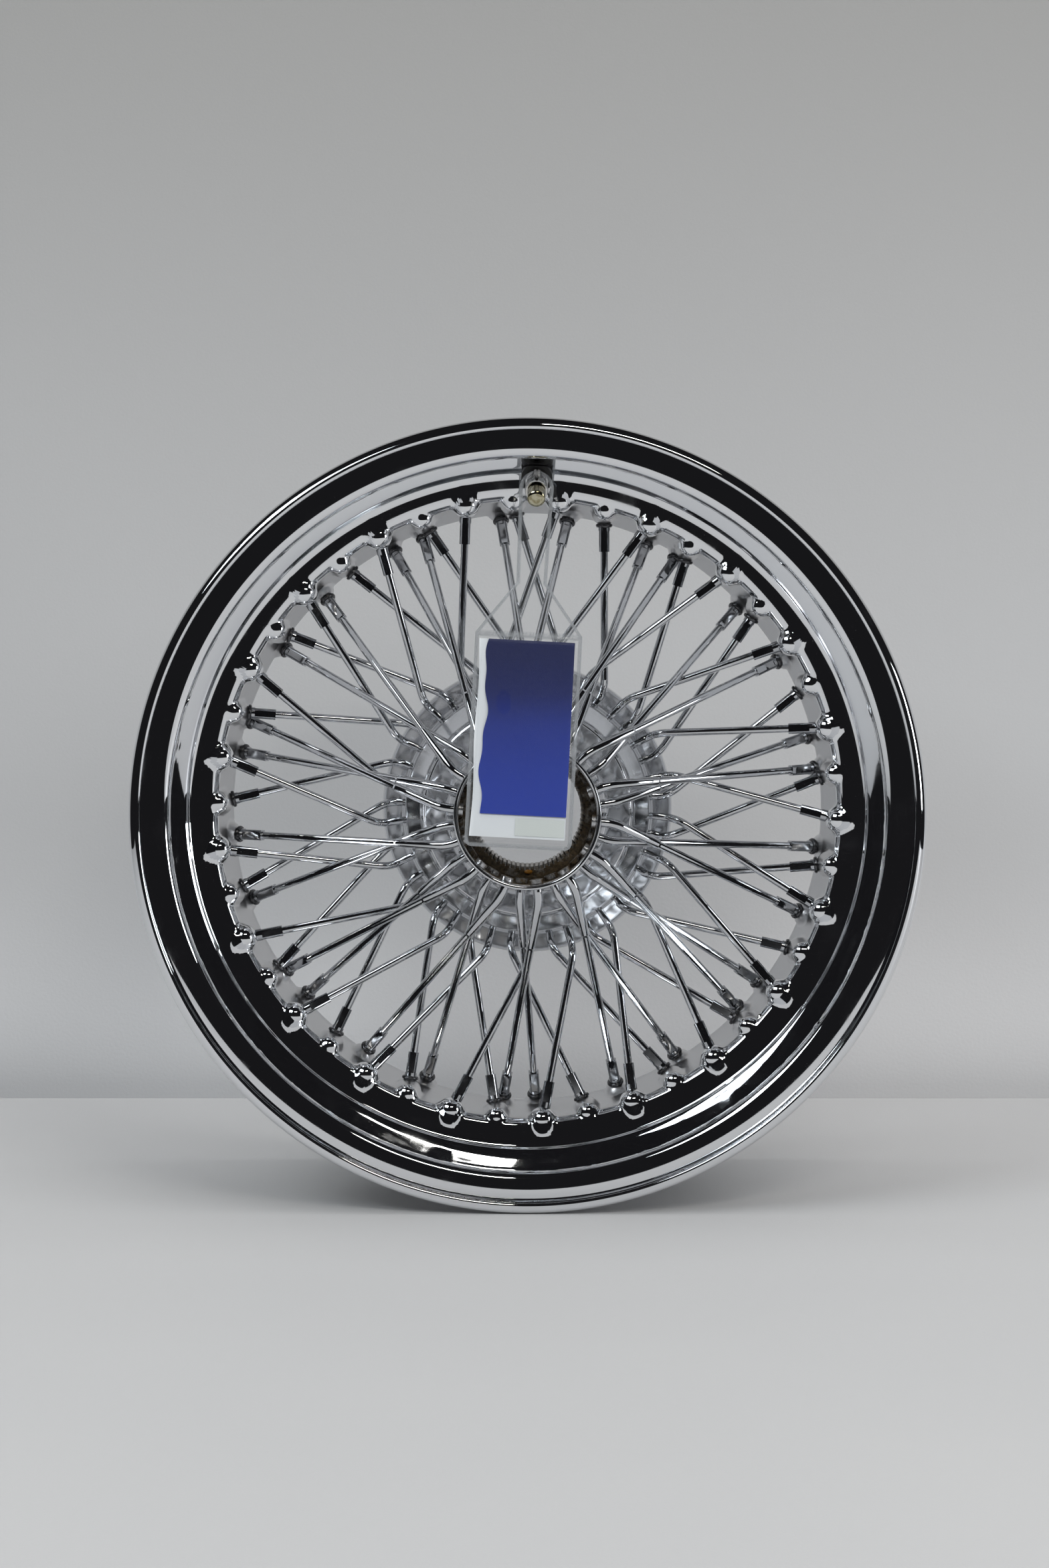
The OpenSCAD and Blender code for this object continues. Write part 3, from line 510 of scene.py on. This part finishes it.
# The well's floor is left as rolled under its plate, so it is satin.
radius, depth = ring_place(tree)
behind = spread(tree, depth, 0.0575, 0.0590)
within = spread(tree, radius, 0.1664, 0.1655)
before_wall = spread(tree, depth, 0.0905, 0.0890)
satin = math_node(tree, "MULTIPLY", math_node(tree, "MULTIPLY", behind, within), before_wall)
grain = noise(tree, object_place(tree), 420.0, 4.0, 0.6)
satin_rough = math_node(tree, "ADD", math_node(tree, "MULTIPLY", grain, 0.05), 0.24)
satin_rough = math_node(tree, "MULTIPLY", satin_rough, satin)
tree.links.new(math_node(tree, "ADD", plate.outputs["Roughness"], satin_rough),
               shader.inputs["Roughness"])
tint = blend_colours(tree, satin, rim_colour, (0.66, 0.66, 0.67))
tree.links.new(tint, shader.inputs["Base Color"])
rim.data.materials.append(rim_chrome)
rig.replaces(rim, "rim")
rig.slot(rim, "chrome_rim")
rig.ride(rim, "wheel")


# Sealing band: a broad band of clear silicone poured over the nipples' heads in the well, so that
# the rim holds air without a tube. It has cured slightly cloudy.
def smooth_piece(cad_node, name, body, angle=38):
    """The CAD node's own shape with its loose triangles joined and its curves shaded smooth"""
    source = frame["nodes"][cad_node]
    bpy.ops.object.select_all(action="DESELECT")
    source.select_set(True)
    bpy.context.view_layer.objects.active = source
    bpy.ops.object.duplicate()
    piece = bpy.context.object
    piece.name = name
    piece.parent = None
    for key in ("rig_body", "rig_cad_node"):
        if key in piece:
            del piece[key]
    if piece.data.has_custom_normals:
        bpy.ops.mesh.customdata_custom_splitnormals_clear()
    bpy.ops.object.mode_set(mode="EDIT")
    bpy.ops.mesh.select_all(action="SELECT")
    bpy.ops.mesh.remove_doubles(threshold=0.000002)
    bpy.ops.object.mode_set(mode="OBJECT")
    bpy.ops.object.shade_smooth_by_angle(angle=math.radians(angle))
    piece.data.materials.clear()
    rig.replaces(piece, cad_node)
    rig.slot(piece, next(part["material_slot"] for part in frame["record"]["subparts"]
                        if part["node"] == cad_node))
    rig.ride(piece, body)
    return piece


band = smooth_piece("spoke_bed_seal", "silicone_band", "wheel", 50)
silicone, tree, shader = new_material("clear_silicone")
cloud = noise(tree, object_place(tree), 60.0, 4.0)
tint = blend_colours(tree, cloud, (0.70, 0.71, 0.68), (0.86, 0.87, 0.85))
tree.links.new(tint, shader.inputs["Base Color"])
tree.links.new(spread(tree, cloud, 0.3, 0.7, 0.14, 0.30), shader.inputs["Roughness"])
shader.inputs["Transmission Weight"].default_value = 0.55
shader.inputs["IOR"].default_value = 1.41
relief(tree, shader, noise(tree, object_place(tree), 90.0, 2.0), 0.0003)
band.data.materials.append(silicone)


# Hub: a turned and pressed steel shell with a conical flange for the short spokes and a nose for
# the long ones, polished and plated. Inside, its bore is dull and stained with old grease.
def rounded_chain(points, passes=3):
    """The same chain with its corners cut again and again, so that it runs round smoothly"""
    for _ in range(passes):
        cut = [points[0]]
        for (r0, d0), (r1, d1) in zip(points, points[1:]):
            cut.append((0.75 * r0 + 0.25 * r1, 0.75 * d0 + 0.25 * d1))
            cut.append((0.25 * r0 + 0.75 * r1, 0.25 * d0 + 0.75 * d1))
        cut.append(points[-1])
        points = cut
    return points


def hub_outline():
    """Radius and depth behind the rim's front edge, in mm, round the shell's closed section"""
    front = rounded_chain([(36.55, 18.2), (36.7, 17.35), (37.6, 17.0), (38.6, 17.1), (39.0, 18.0),
                           (39.0, 22.0)], 2)
    front += rounded_chain([(39.05, 22.8), (39.6, 30.0), (40.4, 37.0), (42.3, 42.0), (46.3, 47.0),
                            (50.8, 52.0), (54.2, 56.3), (54.7, 57.0)])
    front += rounded_chain([(54.9, 57.2), (55.8, 57.6), (56.1, 58.6), (56.3, 59.8),
                            (57.4, 61.0)], 2)
    front += rounded_chain([(57.6, 61.2), (64.2, 67.0), (65.6, 68.2), (66.2, 69.2), (66.6, 71.2),
                            (67.2, 73.3), (68.0, 74.2)], 2)
    front += [(70.0, 75.85), (72.0, 77.5), (74.0, 79.2)]
    front += rounded_chain([(75.2, 80.2), (77.4, 82.2), (78.6, 84.6), (78.88, 87.5),
                            (78.88, 91.2), (78.5, 92.0), (77.6, 92.0)], 2)
    back = [(76.2, 92.0), (75.6, 91.6), (75.4, 91.0), (75.4, 88.4), (75.0, 87.2), (74.2, 85.9),
            (70.8, 83.0), (67.5, 80.2), (64.0, 77.3), (62.0, 75.5), (62.0, 70.5)]
    back += [(58.0, 68.5), (54.0, 65.0), (51.8, 62.5), (50.3, 60.0), (46.5, 56.5), (41.0, 52.5),
             (34.65, 52.5), (34.65, 42.1), (36.45, 42.0), (36.5, 41.5), (36.5, 28.0)]
    return front + back


hub = closed_chain("hub_shell_polished", axle_section(hub_outline()))
spin_round((0, 1, 0), 360, 0.000003)
bpy.ops.object.shade_smooth_by_angle(angle=math.radians(40))
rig.replaces(hub, "hub_shell")
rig.slot(hub, "chrome_hub")
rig.ride(hub, "wheel")


def old_grease_group():
    """Brown film and crumbs left by grease: a mask, a colour, a roughness and a height"""
    group = bpy.data.node_groups.new("old_grease", "ShaderNodeTree")
    socket = group.interface.new_socket("Cover", in_out="INPUT", socket_type="NodeSocketFloat")
    socket.default_value = 0.5
    for name in ("Mask", "Roughness", "Height"):
        group.interface.new_socket(name, in_out="OUTPUT", socket_type="NodeSocketFloat")
    group.interface.new_socket("Color", in_out="OUTPUT", socket_type="NodeSocketColor")
    given = group.nodes.new("NodeGroupInput")
    result = group.nodes.new("NodeGroupOutput")
    place = object_place(group)
    blotch = noise(group, place, 190.0, 5.0, 0.65)
    film = math_node(group, "SUBTRACT", math_node(group, "ADD", blotch, given.outputs["Cover"]),
                     0.80)
    mask = math_node(group, "MULTIPLY", film, 5.0, clamp=True)
    group.links.new(mask, result.inputs["Mask"])
    crumbs = noise(group, place, 700.0, 4.0, 0.7)
    tone = blend_colours(group, spread(group, crumbs, 0.3, 0.7), (0.030, 0.022, 0.013),
                         (0.155, 0.110, 0.060))
    group.links.new(tone, result.inputs["Color"])
    group.links.new(spread(group, crumbs, 0.3, 0.7, 0.28, 0.75), result.inputs["Roughness"])
    group.links.new(math_node(group, "MULTIPLY", crumbs, mask), result.inputs["Height"])
    return group


old_grease = old_grease_group()


def add_grease(tree, shader, plate, base, where, cover):
    """Lays the grease over a plated metal where the mask says"""
    grease = tree.nodes.new("ShaderNodeGroup")
    grease.node_tree = old_grease
    grease.inputs["Cover"].default_value = cover
    mask = math_node(tree, "MULTIPLY", grease.outputs["Mask"], where)
    tree.links.new(blend_colours(tree, mask, base, grease.outputs["Color"]),
                   shader.inputs["Base Color"])
    bare = math_node(tree, "SUBTRACT", 1.0, mask)
    tree.links.new(bare, shader.inputs["Metallic"])
    rough = math_node(tree, "ADD", math_node(tree, "MULTIPLY", bare, plate.outputs["Roughness"]),
                      math_node(tree, "MULTIPLY", mask, grease.outputs["Roughness"]))
    tree.links.new(rough, shader.inputs["Roughness"])
    height = math_node(tree, "ADD", math_node(tree, "MULTIPLY", plate.outputs["Height"], 0.15),
                       math_node(tree, "MULTIPLY", mask, grease.outputs["Height"]))
    relief(tree, shader, height, 0.0004)


hub_colour = (0.70, 0.71, 0.73)
hub_chrome, tree, shader, plate = plated_metal("hub_chrome", hub_colour, 0.11, 0.14, 0.00001)
radius, depth = ring_place(tree)
bore = math_node(tree, "MULTIPLY", spread(tree, radius, 0.0382, 0.0372),
                 spread(tree, depth, 0.0205, 0.0235))
behind_flange = math_node(tree, "MULTIPLY", spread(tree, depth, 0.0905, 0.0930), 0.25)
add_grease(tree, shader, plate, hub_colour, math_node(tree, "MAXIMUM", bore, behind_flange), 0.62)
hub.data.materials.append(hub_chrome)


# Splined sleeve: machined steel, pressed into the shell. Its teeth carry brown grease that has
# been wiped off their tips, and a bead of fresh amber grease sits at the foot of the bore.
sleeve = smooth_piece("spline_sleeve", "splined_sleeve", "wheel", 30)
sleeve_colour = (0.50, 0.47, 0.43)
sleeve_steel, tree, shader, plate = plated_metal("greased_steel", sleeve_colour, 0.24, 0.20,
                                                 0.00005)
radius, depth = ring_place(tree)
roots = spread(tree, radius, 0.0288, 0.0303, 0.35, 1.0)
add_grease(tree, shader, plate, sleeve_colour, roots, 0.52)
sleeve.data.materials.append(sleeve_steel)

random.seed(7)
bpy.ops.object.select_all(action="DESELECT")
bpy.ops.mesh.primitive_ico_sphere_add(subdivisions=3, radius=0.0012, location=(0, 0, 0))
bead = bpy.context.object
bead.name = "grease_bead"
bead_lobes = [(random.uniform(-1, 1), random.uniform(-1, 1), random.uniform(-1, 1),
               random.uniform(0.10, 0.22)) for _ in range(9)]
for vertex in bead.data.vertices:
    unit = vertex.co.normalized()
    swell = sum(size * max(0.0, unit.dot(Vector((x, y, z)).normalized())) ** 6
                for x, y, z, size in bead_lobes)
    vertex.co = unit * 0.0011 * (1 + swell)
    vertex.co.x *= 1.9
    vertex.co.y *= 1.3
    vertex.co += Vector((0.0006, -0.0437, -0.0312))
bead.data.update()
bpy.ops.object.shade_smooth()
amber_grease, tree, shader = new_material("amber_grease")
smear = noise(tree, object_place(tree), 800.0, 3.0)
tree.links.new(blend_colours(tree, smear, (0.32, 0.12, 0.02), (0.62, 0.30, 0.05)),
               shader.inputs["Base Color"])
tree.links.new(spread(tree, smear, 0.3, 0.7, 0.2, 0.45), shader.inputs["Roughness"])
relief(tree, shader, smear, 0.0003)
bead.data.materials.append(amber_grease)
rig.slot(bead, "greased_steel")
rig.ride(bead, "wheel")


# Back plate: a pressed washer of zinc-plated steel behind the shell, with a faint lathe grain.
back_plate = smooth_piece("hub_back_plate", "hub_back_washer", "wheel")
zinc, tree, shader, plate = plated_metal("zinc_plate", (0.55, 0.55, 0.56), 0.26, 0.22, 0.00005)
radius, depth = ring_place(tree)
rings = node(tree, "ShaderNodeTexNoise", {"Scale": 1.0, "Detail": 3.0}, noise_dimensions="1D")
tree.links.new(math_node(tree, "MULTIPLY", radius, 2600.0), rings.inputs["W"])
tree.links.new(blend_colours(tree, rings.outputs["Fac"], (0.46, 0.46, 0.47), (0.62, 0.62, 0.61)),
               shader.inputs["Base Color"])
back_plate.data.materials.append(zinc)


# Spokes: 70 cold-headed steel wires, plated. 28 long ones hook into holes in the nose and cross
# to the back of the rim; 42 short ones hook into the flange and run to its front.
spoke_colour = (0.60, 0.61, 0.63)
spoke_chrome, tree, shader, plate = plated_metal("spoke_chrome", spoke_colour, 0.05, 0.12, 0.00002)
radius, depth = ring_place(tree)
in_bore = math_node(tree, "MULTIPLY", spread(tree, radius, 0.0395, 0.0382),
                    spread(tree, depth, 0.0205, 0.0235))
add_grease(tree, shader, plate, spoke_colour, in_bore, 0.44)
for cad_node, name in (("nose_spokes_left", "nose_spokes_left_set"),
                       ("nose_spokes_right", "nose_spokes_right_set"),
                       ("flange_spokes_front", "flange_spokes_front_set"),
                       ("flange_spokes_rear", "flange_spokes_rear_set")):
    spokes = smooth_piece(cad_node, name, "wheel", 40)
    spokes.data.materials.append(spoke_chrome)


# Nipples: turned steel sleeves with a ball head that sits in the rim and two flats for the
# spanner, plated a little darker than the spokes.
nipple_chrome = plated_metal("nipple_chrome", (0.46, 0.47, 0.49), 0.07, 0.16, 0.00003)[0]
nipple_pieces = {}
for cad_node in ("nipples_front_row", "nipples_second_row", "nipples_rear_left",
                 "nipples_rear_right"):
    nipple_pieces[cad_node] = smooth_piece(cad_node, cad_node + "_turned", "wheel", 30)
    nipple_pieces[cad_node].data.materials.append(nipple_chrome)


# Seat rings: a near-black metal ring with rounded edges under each nipple of the second and rear
# rows, where the nipple leaves its dome. Its dark colour is painted shade, standing in for the
# shade at the edge of each seat's hole.
def loose_parts(mesh):
    """The separate parts of a mesh as arrays of points, in metres"""
    co = vertex_values(mesh, "co")
    edges = np.empty(len(mesh.edges) * 2, dtype=int)
    mesh.edges.foreach_get("vertices", edges)
    edges = edges.reshape(-1, 2)
    label = np.arange(len(mesh.vertices))
    while True:
        low = np.minimum(label[edges[:, 0]], label[edges[:, 1]])
        before = label.copy()
        np.minimum.at(label, edges[:, 0], low)
        np.minimum.at(label, edges[:, 1], low)
        label = label[label]
        if (label == before).all():
            break
    return [co[label == part] for part in np.unique(label)]


collar_section = [(3.25, -0.9), (4.05, -0.95), (4.45, -0.6), (4.5, 0.1), (4.2, 0.7), (3.7, 0.95),
                  (3.25, 0.9)]
collar = closed_chain("collar", [(radius / 1000, 0, height / 1000)
                                 for radius, height in collar_section])
spin_round((0, 0, 1), 28, 0.000005)
bpy.ops.object.shade_smooth_by_angle(angle=math.radians(50))

collars = []
for cad_node, seat_radius in (("nipples_second_row", 0.1650), ("nipples_rear_left", 0.1625),
                              ("nipples_rear_right", 0.1625)):
    for points in loose_parts(nipple_pieces[cad_node].data):
        middle = points.mean(axis=0)
        _, _, directions = np.linalg.svd(points - middle, full_matrices=False)
        along = Vector(directions[0])
        outward = Vector((middle[0], 0, middle[2])).normalized()
        if along.dot(outward) > 0:
            along = -along
        middle = Vector(middle)
        reach = (seat_radius - middle.dot(outward)) / along.dot(outward)
        seat = middle + along * reach
        made = collar.copy()
        made.data = collar.data.copy()
        bpy.context.scene.collection.objects.link(made)
        made.matrix_world = (Matrix.Translation(seat + along * 0.0071)
                             @ along.to_track_quat("Z", "Y").to_matrix().to_4x4())
        collars.append(made)
bpy.data.objects.remove(collar)
bpy.ops.object.select_all(action="DESELECT")
for made in collars:
    made.select_set(True)
bpy.context.view_layer.objects.active = collars[0]
bpy.ops.object.join()
seat_collars = bpy.context.object
seat_collars.name = "seat_collars"
bpy.ops.object.transform_apply(location=True, rotation=True, scale=True)
# painted shade: the rings' near-black colour stands in for the shade round the seats' holes
painted_shade_metal = plated_metal("painted_shade_metal", (0.10, 0.10, 0.105), 0.22, 0.25, 0.00004)[0]
seat_collars.data.materials.append(painted_shade_metal)
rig.slot(seat_collars, "chrome_nipples")
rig.ride(seat_collars, "wheel")


# Valve: a moulded rubber foot in the rim, a chromed sleeve over it, a turned brass stem with its
# core, and a small nickelled cap that is unscrewed to fill the tyre.
rubber, tree, shader = new_material("moulded_rubber")
bloom = noise(tree, object_place(tree), 240.0, 4.0)
tree.links.new(blend_colours(tree, bloom, (0.012, 0.012, 0.012), (0.035, 0.034, 0.032)),
               shader.inputs["Base Color"])
tree.links.new(spread(tree, bloom, 0.3, 0.7, 0.42, 0.62), shader.inputs["Roughness"])
relief(tree, shader, noise(tree, object_place(tree), 1200.0, 3.0), 0.0001)
foot = smooth_piece("valve_rubber", "valve_foot", "wheel")
foot.data.materials.append(rubber)
washer = smooth_piece("valve_cap_seal", "cap_washer", "cap")
washer.data.materials.append(rubber)

sleeve_chrome = plated_metal("valve_chrome", (0.60, 0.59, 0.57), 0.06, 0.16, 0.00003)[0]
shroud = smooth_piece("valve_shroud", "valve_sleeve", "wheel")
shroud.data.materials.append(sleeve_chrome)

brass_colour = (0.72, 0.58, 0.30)
brass, tree, shader, plate = plated_metal("turned_brass", brass_colour, 0.14, 0.22, 0.00003)
tarnish = spread(tree, noise(tree, object_place(tree), 300.0, 4.0), 0.45, 0.65)
tree.links.new(blend_colours(tree, tarnish, brass_colour, (0.34, 0.25, 0.12)),
               shader.inputs["Base Color"])
for cad_node, name, body in (("valve_stem", "stem", "wheel"), ("valve_core", "core", "wheel"),
                             ("valve_core_pin", "core_needle", "core_pin")):
    turned = smooth_piece(cad_node, name, body)
    turned.data.materials.append(brass)

nickel, tree, shader, plate = plated_metal("dulled_nickel", (0.50, 0.47, 0.34), 0.10, 0.20,
                                           0.00004)
wear = spread(tree, noise(tree, object_place(tree), 420.0, 4.0), 0.42, 0.62)
tree.links.new(blend_colours(tree, wear, (0.52, 0.49, 0.36), (0.30, 0.26, 0.15)),
               shader.inputs["Base Color"])
cap = smooth_piece("valve_cap", "dust_cap", "cap", 30)
cap.data.materials.append(nickel)


# Tag: a pouch welded from two sheets of clear vinyl, with a long strap whose eye hangs on the
# valve. It holds a glossy printed card and a folded paper, whose left edge curls round the card.
hang_point = Vector((0.004792, -0.058378, 0.171542))
tag_frame = (Matrix.Translation(hang_point) @ Matrix.Rotation(math.radians(84), 4, "X")
             @ Matrix.Rotation(math.radians(-3), 4, "Z"))
strap_half, pouch_half = 9.0, 28.0
strap_foot, pouch_top, pouch_foot = -50.0, -77.0, -189.0
pouch_corner = 4.0
weld = 2.2


def film_half_width(y):
    if y > 0:
        return math.sqrt(max(strap_half ** 2 - y * y, 0.02))
    if y > strap_foot:
        return strap_half - 1.0 * y / strap_foot
    if y > pouch_top:
        return 8.0 + (pouch_half - 8.0) * (strap_foot - y) / (strap_foot - pouch_top)
    if y < pouch_foot + pouch_corner:
        drop = pouch_foot + pouch_corner - y
        return pouch_half - pouch_corner + math.sqrt(max(pouch_corner ** 2 - drop * drop, 0.02))
    return pouch_half


def step_up(value, low, high):
    share = min(max((value - low) / (high - low), 0.0), 1.0)
    return share * share * (3 - 2 * share)


def shaped_sheet(name, columns, rows, place, thickness):
    """A grid whose point (u, v), each from 0 to 1, goes where place says, in the tag's mm"""
    bpy.ops.object.select_all(action="DESELECT")
    bpy.ops.mesh.primitive_grid_add(x_subdivisions=columns, y_subdivisions=rows, size=1)
    sheet = bpy.context.object
    sheet.name = name
    for vertex in sheet.data.vertices:
        x, y, z = place(vertex.co.x + 0.5, vertex.co.y + 0.5)
        vertex.co = tag_frame @ Vector((x / 1000, y / 1000, z / 1000))
    skin = sheet.modifiers.new("thickness", "SOLIDIFY")
    skin.thickness = thickness / 1000
    skin.offset = 0
    bpy.ops.object.modifier_apply(modifier="thickness")
    bpy.ops.object.shade_smooth_by_angle(angle=math.radians(45))
    return sheet


def film_rows():
    """Heights down the film, closer together round the eye and at the pouch's ends"""
    eye = [strap_half * math.cos(math.pi * k / 24) for k in range(12)]
    strap = [strap_foot * k / 26 for k in range(26)]
    flare = [strap_foot - (strap_foot - pouch_top) * k / 16 for k in range(16)]
    straight = pouch_top - pouch_foot - pouch_corner
    pouch = [pouch_top - straight * k / 90 for k in range(90)]
    foot = [pouch_foot + pouch_corner - pouch_corner * math.sin(math.pi * k / 16)
            for k in range(9)]
    return eye + strap + flare + pouch + foot


film_heights = film_rows()


def front_film(u, v):
    y = film_heights[round((1 - v) * (len(film_heights) - 1))]
    half = film_half_width(y)
    across = 2 * u - 1
    across = math.copysign(abs(across) ** 0.9, across)
    x = across * half
    from_edge = half - abs(x)
    height = 0.90
    if y < pouch_top:
        from_end = min(pouch_top - y, y - pouch_foot, from_edge)
        fill = step_up(from_end, weld, weld + 1.8)
        billow = 0.10 * math.sin(x * 0.21 + y * 0.05) + 0.09 * math.sin(y * 0.13 - x * 0.06)
        height += fill * (1.42 + billow)
        height += 0.16 * math.exp(-((from_end - 1.1) / 0.45) ** 2)
    else:
        height += 0.16 * math.exp(-((from_edge - 1.0) / 0.4) ** 2)
    return x, y, height


def back_film(u, v):
    y = film_heights[round((1 - v) * (len(film_heights) - 1))]
    half = film_half_width(y) - 0.01
    return (2 * u - 1) * half, y, 0.30


vinyl, tree, shader = new_material("clear_vinyl")
place = object_place(tree)
turned = node(tree, "ShaderNodeMapping", {"Rotation": (0, math.radians(-3), 0)})
tree.links.new(place, turned.inputs["Vector"])
knurl = node(tree, "ShaderNodeTexChecker", {"Scale": 1800.0})
tree.links.new(turned.outputs[0], knurl.inputs["Vector"])
seam = tree.nodes.new("ShaderNodeAttribute")
seam.attribute_name = "weld"
ripple = noise(tree, place, 42.0, 2.0)
knurl_height = math_node(tree, "MULTIPLY", knurl.outputs["Fac"], 0.16)
height = math_node(tree, "ADD", ripple,
                   math_node(tree, "MULTIPLY", knurl_height, seam.outputs["Fac"]))
relief(tree, shader, height, 0.0012)
shader.inputs["Base Color"].default_value = (0.50, 0.52, 0.54, 1)
shader.inputs["Specular IOR Level"].default_value = 0.9
facing = node(tree, "ShaderNodeLayerWeight", {"Blend": 0.25})
clear = math_node(tree, "ADD", math_node(tree, "MULTIPLY", facing.outputs["Facing"], 0.45), 0.02)
clear = math_node(tree, "ADD", clear, math_node(tree, "MULTIPLY", seam.outputs["Fac"], 0.28),
                  clamp=True)
tree.links.new(clear, shader.inputs["Alpha"])
tree.links.new(spread(tree, ripple, 0.3, 0.7, 0.03, 0.12), shader.inputs["Roughness"])


def mark_weld(sheet):
    """Paints the welded border, which is knurled and less clear than the film, as an attribute"""
    back = tag_frame.inverted()
    marks = sheet.data.attributes.new("weld", "FLOAT", "POINT")
    for index, vertex in enumerate(sheet.data.vertices):
        local = back @ vertex.co * 1000
        from_edge = film_half_width(local.y) - abs(local.x)
        if local.y < pouch_top:
            from_edge = min(from_edge, pouch_top - local.y, local.y - pouch_foot)
        marks.data[index].value = 1 - step_up(from_edge, 1.3, 2.3)


def bore_eye(sheet):
    """The hole that the valve passes through"""
    axis = Vector((0.01224, 0.898794, 0.4382))
    bpy.ops.object.select_all(action="DESELECT")
    bpy.ops.mesh.primitive_cylinder_add(vertices=48, radius=0.00685, depth=0.03,
                                        location=hang_point,
                                        rotation=axis.to_track_quat("Z", "Y").to_euler())
    punch = bpy.context.object
    cut = sheet.modifiers.new("eye", "BOOLEAN")
    cut.operation = "DIFFERENCE"
    cut.object = punch
    bpy.ops.object.select_all(action="DESELECT")
    sheet.select_set(True)
    bpy.context.view_layer.objects.active = sheet
    bpy.ops.object.modifier_apply(modifier="eye")
    bpy.data.objects.remove(punch)


for name, place_of, thickness, cad_node in (("pouch_front", front_film, 0.50, "tag_front_sheet"),
                                            ("pouch_back", back_film, 0.56, "tag_back_sheet")):
    film = shaped_sheet(name, 72, len(film_heights) - 1, place_of, thickness)
    bore_eye(film)
    mark_weld(film)
    film.data.materials.clear()
    film.data.materials.append(vinyl)
    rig.replaces(film, cad_node)
    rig.slot(film, "clear_vinyl")
    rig.ride(film, "tag")


# Card: heavy glossy stock, printed in a blue that runs from navy at the top to royal at the foot.
sheet_top, card_long, leaflet_long = -80.3, 91.4, 103.4


def card_edge(y):
    """Left edge of the card where it goes under the curled paper, in mm"""
    wave = 1.1 * math.sin((y + 80) * 0.12) + 0.6 * math.sin((y + 80) * 0.29)
    return -20.6 + wave + 0.006 * (y + 80)


def card_place(u, v):
    y = sheet_top - card_long * (1 - v)
    left = card_edge(y)
    x = left + (24.4 - left) * u
    return x, y, 1.62 + 0.10 * math.sin(y * 0.07) * math.sin(x * 0.11)


card = shaped_sheet("printed_card", 48, 92, card_place, 0.42)
card_print, tree, shader = new_material("blue_print")
axes = tree.nodes.new("ShaderNodeSeparateXYZ")
tree.links.new(object_place(tree), axes.inputs[0])
ramp = tree.nodes.new("ShaderNodeValToRGB")
ramp.color_ramp.elements[0].position = 0.0
ramp.color_ramp.elements[0].color = (0.020, 0.052, 0.40, 1)
ramp.color_ramp.elements[1].position = 1.0
ramp.color_ramp.elements[1].color = (0.0030, 0.008, 0.075, 1)
middle_blue = ramp.color_ramp.elements.new(0.52)
middle_blue.color = (0.016, 0.036, 0.27, 1)
upper_blue = ramp.color_ramp.elements.new(0.78)
upper_blue.color = (0.008, 0.016, 0.125, 1)
tree.links.new(spread(tree, axes.outputs["Z"], 0.0, 0.092), ramp.inputs["Fac"])
dots = noise(tree, object_place(tree), 2200.0, 2.0)
tree.links.new(blend_colours(tree, spread(tree, dots, 0.45, 0.75, 0.0, 0.08),
                             ramp.outputs["Color"], (0.25, 0.30, 0.60)),
               shader.inputs["Base Color"])
shader.inputs["Coat Weight"].default_value = 0.5
shader.inputs["Coat Roughness"].default_value = 0.08
tree.links.new(spread(tree, dots, 0.3, 0.7, 0.30, 0.42), shader.inputs["Roughness"])
relief(tree, shader, noise(tree, object_place(tree), 35.0, 2.0), 0.0003)
card.data.materials.append(card_print)
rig.replaces(card, "tag_card")
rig.slot(card, "blue_card")
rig.ride(card, "tag")


# Paper: a folded leaflet behind the card, a little longer than it, whose left fold curls forward
# over the card's edge. A pale label is stuck to its foot.
def paper_place(u, v):
    y = sheet_top - leaflet_long * (1 - v)
    edge = -25.3 + 0.45 * math.sin((y + 60) * 0.11)
    x = edge + (24.3 - edge) * u
    curl = max(0.0, 1 - (x - edge) / 5.6)
    lift = 0.78 + 0.22 * math.sin(y * 0.13)
    return x, y, 0.95 + 1.0 * math.sin(curl * math.pi / 2) * lift


leaflet = shaped_sheet("folded_paper", 60, 104, paper_place, 0.24)
white_paper, tree, shader = new_material("white_paper")
fibre = noise(tree, object_place(tree), 1600.0, 4.0, 0.7)
tree.links.new(blend_colours(tree, fibre, (0.76, 0.80, 0.83), (0.87, 0.90, 0.92)),
               shader.inputs["Base Color"])
shader.inputs["Roughness"].default_value = 0.6
relief(tree, shader, fibre, 0.00006)
leaflet.data.materials.append(white_paper)
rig.replaces(leaflet, "tag_slip")
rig.slot(leaflet, "white_paper")
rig.ride(leaflet, "tag")


def label_place(u, v):
    return -2.0 + 25.8 * u, -173.2 - 9.2 * (1 - v), 1.24 + 0.05 * math.sin(u * 5.0)


label = shaped_sheet("blank_label", 26, 10, label_place, 0.22)
label_stock, tree, shader = new_material("label_stock")
fibre = noise(tree, object_place(tree), 1300.0, 4.0, 0.7)
tree.links.new(blend_colours(tree, fibre, (0.66, 0.71, 0.69), (0.76, 0.80, 0.77)),
               shader.inputs["Base Color"])
shader.inputs["Roughness"].default_value = 0.45
relief(tree, shader, fibre, 0.00005)
label.data.materials.append(label_stock)
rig.replaces(label, "tag_label")
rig.slot(label, "label_paper")
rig.ride(label, "tag")

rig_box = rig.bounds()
with open("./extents.json", "w") as f:
    json.dump({"cad": [list(v) for v in cad_box], "visual": [list(v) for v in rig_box]}, f)
